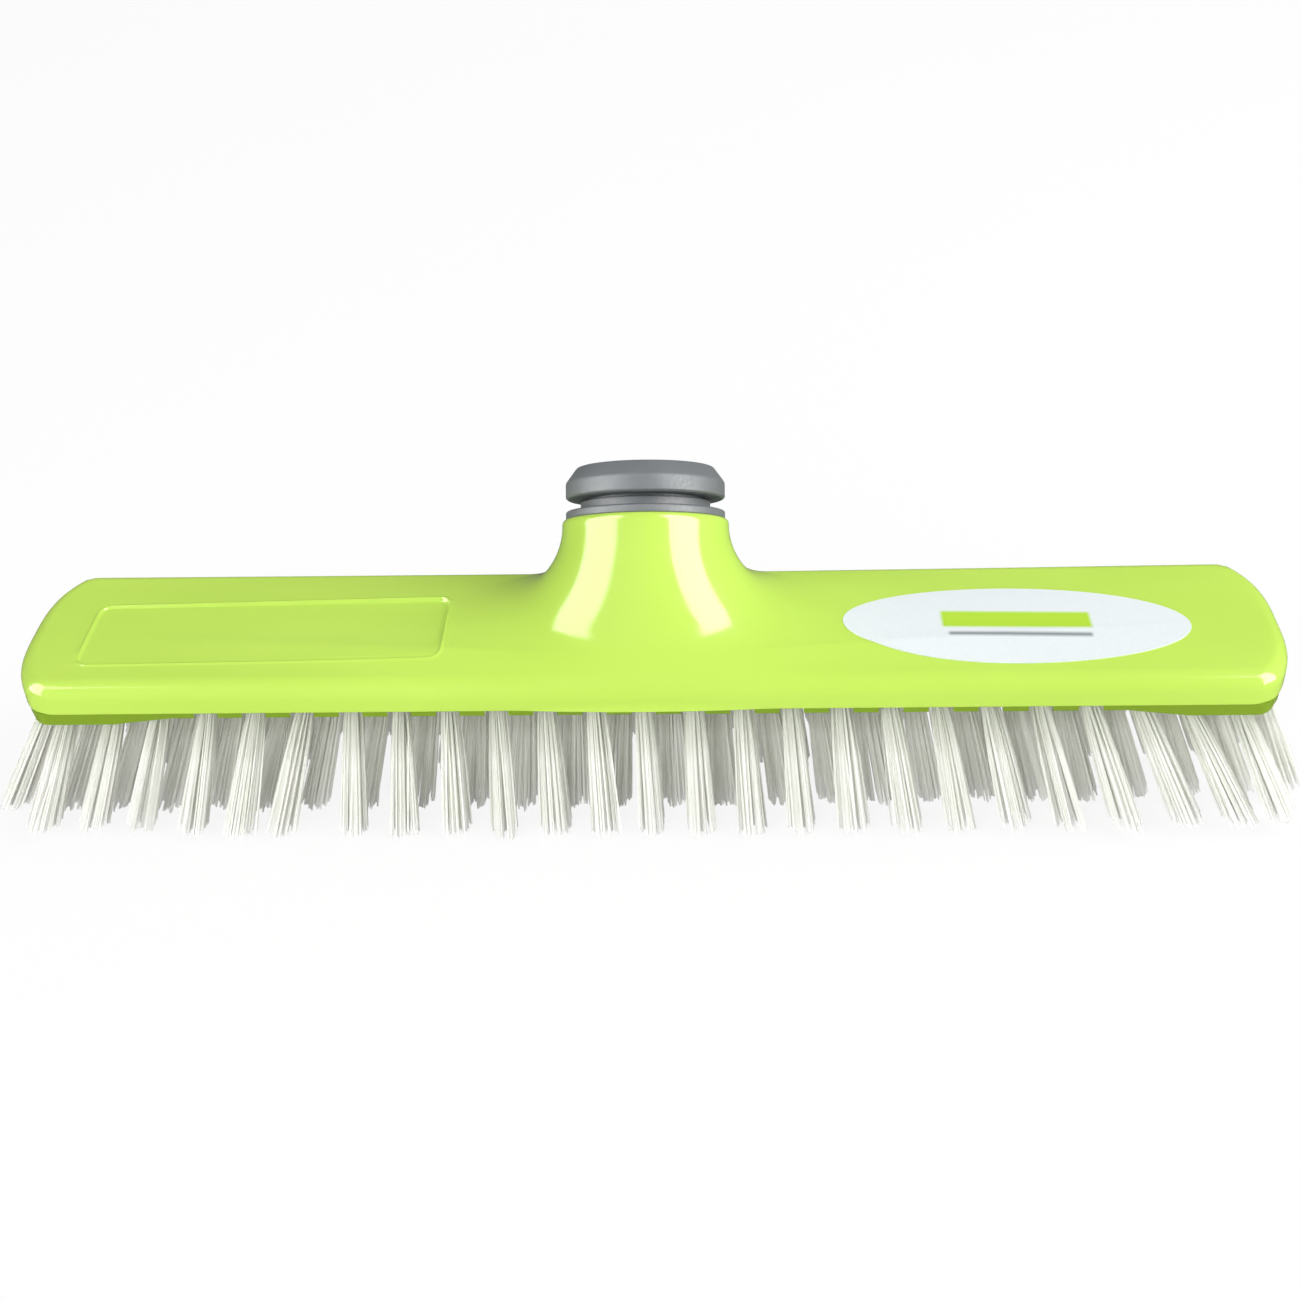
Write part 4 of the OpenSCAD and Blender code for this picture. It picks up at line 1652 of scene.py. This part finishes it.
IMAGE_POINTS = (
    ImagePoint("object_left", 1.0, None, Side.LEFT, BRISTLES),
    ImagePoint("object_right", 1299.0, None, Side.RIGHT, BRISTLES),
    ImagePoint("object_top", None, 460.0, Side.TOP, INSERT),
    ImagePoint("object_bottom", None, 839.0, Side.BOTTOM, BRISTLES),
    ImagePoint("block_left_end", 22.2, None, Side.LEFT, COVER),
    ImagePoint("block_right_end", 1284.6, None, Side.RIGHT, COVER),
    ImagePoint("rim_left", 561.0, None, Side.LEFT, COVER, (540.0, 505.0, 640.0, 530.0)),
    ImagePoint("rim_right", 728.0, None, Side.RIGHT, COVER, (660.0, 505.0, 750.0, 530.0)),
    ImagePoint("ring_left", 565.8, None, Side.LEFT, INSERT, (540.0, 470.0, 640.0, 497.0)),
    ImagePoint("ring_right", 723.0, None, Side.RIGHT, INSERT, (660.0, 470.0, 750.0, 497.0)),
    ImagePoint("far_edge_left", None, 576.3, Side.TOP, COVER, (270.0, 550.0, 290.0, 600.0)),
    ImagePoint("far_edge_right", None, 567.6, Side.TOP, COVER, (1000.0, 550.0, 1020.0, 600.0)),
    ImagePoint("lip_left", None, 712.0, Side.BOTTOM, COVER, (230.0, 690.0, 250.0, 730.0)),
    ImagePoint("lip_right", None, 703.0, Side.BOTTOM, COVER, (1130.0, 690.0, 1150.0, 730.0)),
    ImagePoint("panel_far_left", 104.0, 609.5, Side.NEAR, COVER, place=(-133.6, 7.6, 44.0)),
    ImagePoint("panel_near_right", 438.0, 655.0, Side.NEAR, COVER, place=(-48.4, -14.6, 44.8)),
    ImagePoint("label_left", 843.0, None, Side.LEFT, LABEL),
    ImagePoint("label_right", 1192.5, None, Side.RIGHT, LABEL),
    ImagePoint("label_centre", 1016.4, 623.1, Side.NEAR, LABEL, place=(87.5, -4.0, 45.2)),
    ImagePoint("label_bottom", None, 662.5, Side.BOTTOM, LABEL),
)


@dataclass
class PointCheck:
    """Measures how far each image point's feature shows from its place in the photograph."""

    camera: PhotoCamera
    tries: int = 300
    slack: float = 0.0006

    def mesh_of(self, piece: bpy.types.Object) -> tuple[np.ndarray, np.ndarray]:
        """Read a finished piece, modifiers included.

        Args:
            piece: The piece.

        Returns:
            Its vertices, in metres, and its triangles.
        """
        body = piece.evaluated_get(bpy.context.evaluated_depsgraph_get()).to_mesh()
        body.calc_loop_triangles()
        points = np.empty(len(body.vertices) * 3, dtype=np.float32)
        body.vertices.foreach_get("co", points)
        threes = np.empty(len(body.loop_triangles) * 3, dtype=np.int32)
        body.loop_triangles.foreach_get("vertices", threes)
        return points.reshape(-1, 3), threes.reshape(-1, 3)

    def shell(self) -> BVHTree:
        """Join every finished piece into one tree, to test what hides what.

        Returns:
            The tree, in metres.
        """
        corners, faces, size = [], [], 0
        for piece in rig.pieces():
            points, threes = self.mesh_of(piece)
            corners.append(points)
            faces.append(threes + size)
            size += len(points)
        return BVHTree.FromPolygons(np.concatenate(corners).tolist(), np.concatenate(faces).tolist())

    def measure(self, point: ImagePoint, tree: BVHTree) -> dict:
        """Find where a point's feature shows: the outermost visible vertex in its window, or the
        vertex nearest its place.

        Args:
            point: The image point.
            tree: Every piece, as one tree.

        Returns:
            Its name, where it shows, and the errors in x and y.
        """
        places = [self.mesh_of(bpy.data.objects[name])[0] for name in point.pieces]
        places = np.concatenate(places).astype(float) / MM
        seen = self.camera.project(places)
        x0, y0, x1, y1 = point.window
        inside = (seen[:, 0] > x0) & (seen[:, 0] < x1) & (seen[:, 1] > y0) & (seen[:, 1] < y1)
        places, seen = places[inside], seen[inside]
        if point.side is Side.NEAR:
            order = np.argsort(np.linalg.norm(places - np.array(point.place), axis=1))
        else:
            column, sign = point.side.value
            order = np.argsort(sign * seen[:, column])
        eye = Vector(self.camera.place) * MM
        for k in order[:self.tries]:
            way = Vector(places[k]) * MM - eye
            hit, _, _, distance = tree.ray_cast(eye, way.normalized())
            if hit is None or distance > way.length - self.slack:
                x, y = (round(float(v), 1) for v in seen[k])
                return {"name": point.name, "shows": [x, y],
                        "error_x": None if point.x is None else round(x - point.x, 1),
                        "error_y": None if point.y is None else round(y - point.y, 1)}
        return {"name": point.name, "shows": None, "error_x": None, "error_y": None}

    def write(self, path: str) -> None:
        """Measure every point and write the list as JSON.

        Args:
            path: The file.
        """
        tree = self.shell()
        rows = [self.measure(point, tree) for point in IMAGE_POINTS]
        with open(path, "w") as out:
            json.dump(rows, out, indent=1)
        worst = max(abs(row[key]) for row in rows for key in ("error_x", "error_y") if row[key] is not None)
        LOG.info("image points: %d, the worst error is %.1f px", len(rows), worst)


# ---------------------------------------------------------------------------------- the scene


def dress_nodes(material: bpy.types.Material, *nodes: str) -> None:
    """Give CAD nodes that stay as they are their material.

    Args:
        material: The material.
        *nodes: The nodes' names.
    """
    for name in nodes:
        node = frame["nodes"][name]
        node.data.materials.clear()
        node.data.materials.append(material)
        LOG.info("%s: dressed with %s", name, material.name)


def main() -> None:
    """Build the camera, the studio and every piece, and measure the result."""
    logging.basicConfig(level=logging.INFO, format="%(name)s: %(message)s")
    bpy.context.scene.view_settings.view_transform = "Standard"
    cad_low, cad_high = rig.bounds()
    camera, studio = PhotoCamera(), Studio()
    camera.build()
    floor = studio.build()

    lime = GlossyMoulding("glossy_lime_polypropylene", "#c4e761", "#bee15b").material()
    olive = GlossyMoulding("olive_polypropylene", "#82a21b", "#7c9b18", roughness=0.3).material()
    grey = SatinMoulding("satin_grey_abs", "#6b6f72", "#666a6c").material()
    filament = BristleFilament().material()

    cover = Cover()
    shell = cover.build()
    hand_over(shell, lime, Slot.LIME, "cover")
    hand_over(SocketInsert().build(), grey, Slot.GREY, "socket_insert")
    centre = next(point for point in IMAGE_POINTS if point.name == "label_centre")
    spot = camera.place_on(centre.x, centre.y, shell)
    hand_over(Label(cover, (spot.x, spot.y)).build(), LabelPaper().material(), Slot.PAPER, "label")
    bristles = []
    for row in TUFT_ROWS:
        bristles.append(row.build())
        hand_over(bristles[-1], filament, Slot.BRISTLE, row.name + "_tufts")
    studio.lift(bristles, floor)
    dress_nodes(olive, "tuft_plate")
    dress_nodes(PlatedSteel("stamped_steel_anchor").material(), *[row.name + "_anchors" for row in TUFT_ROWS])
    dress_nodes(PlatedSteel("zinc_plated_screw", roughness=0.26).material(), "plate_screws")

    bpy.context.view_layer.update()
    PointCheck(camera).write("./points.json")
    low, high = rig.bounds()
    with open("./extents.json", "w") as out:
        json.dump({"cad": [list(cad_low), list(cad_high)], "visual": [list(low), list(high)]}, out, indent=1)


if __name__ == "__main__":
    main()
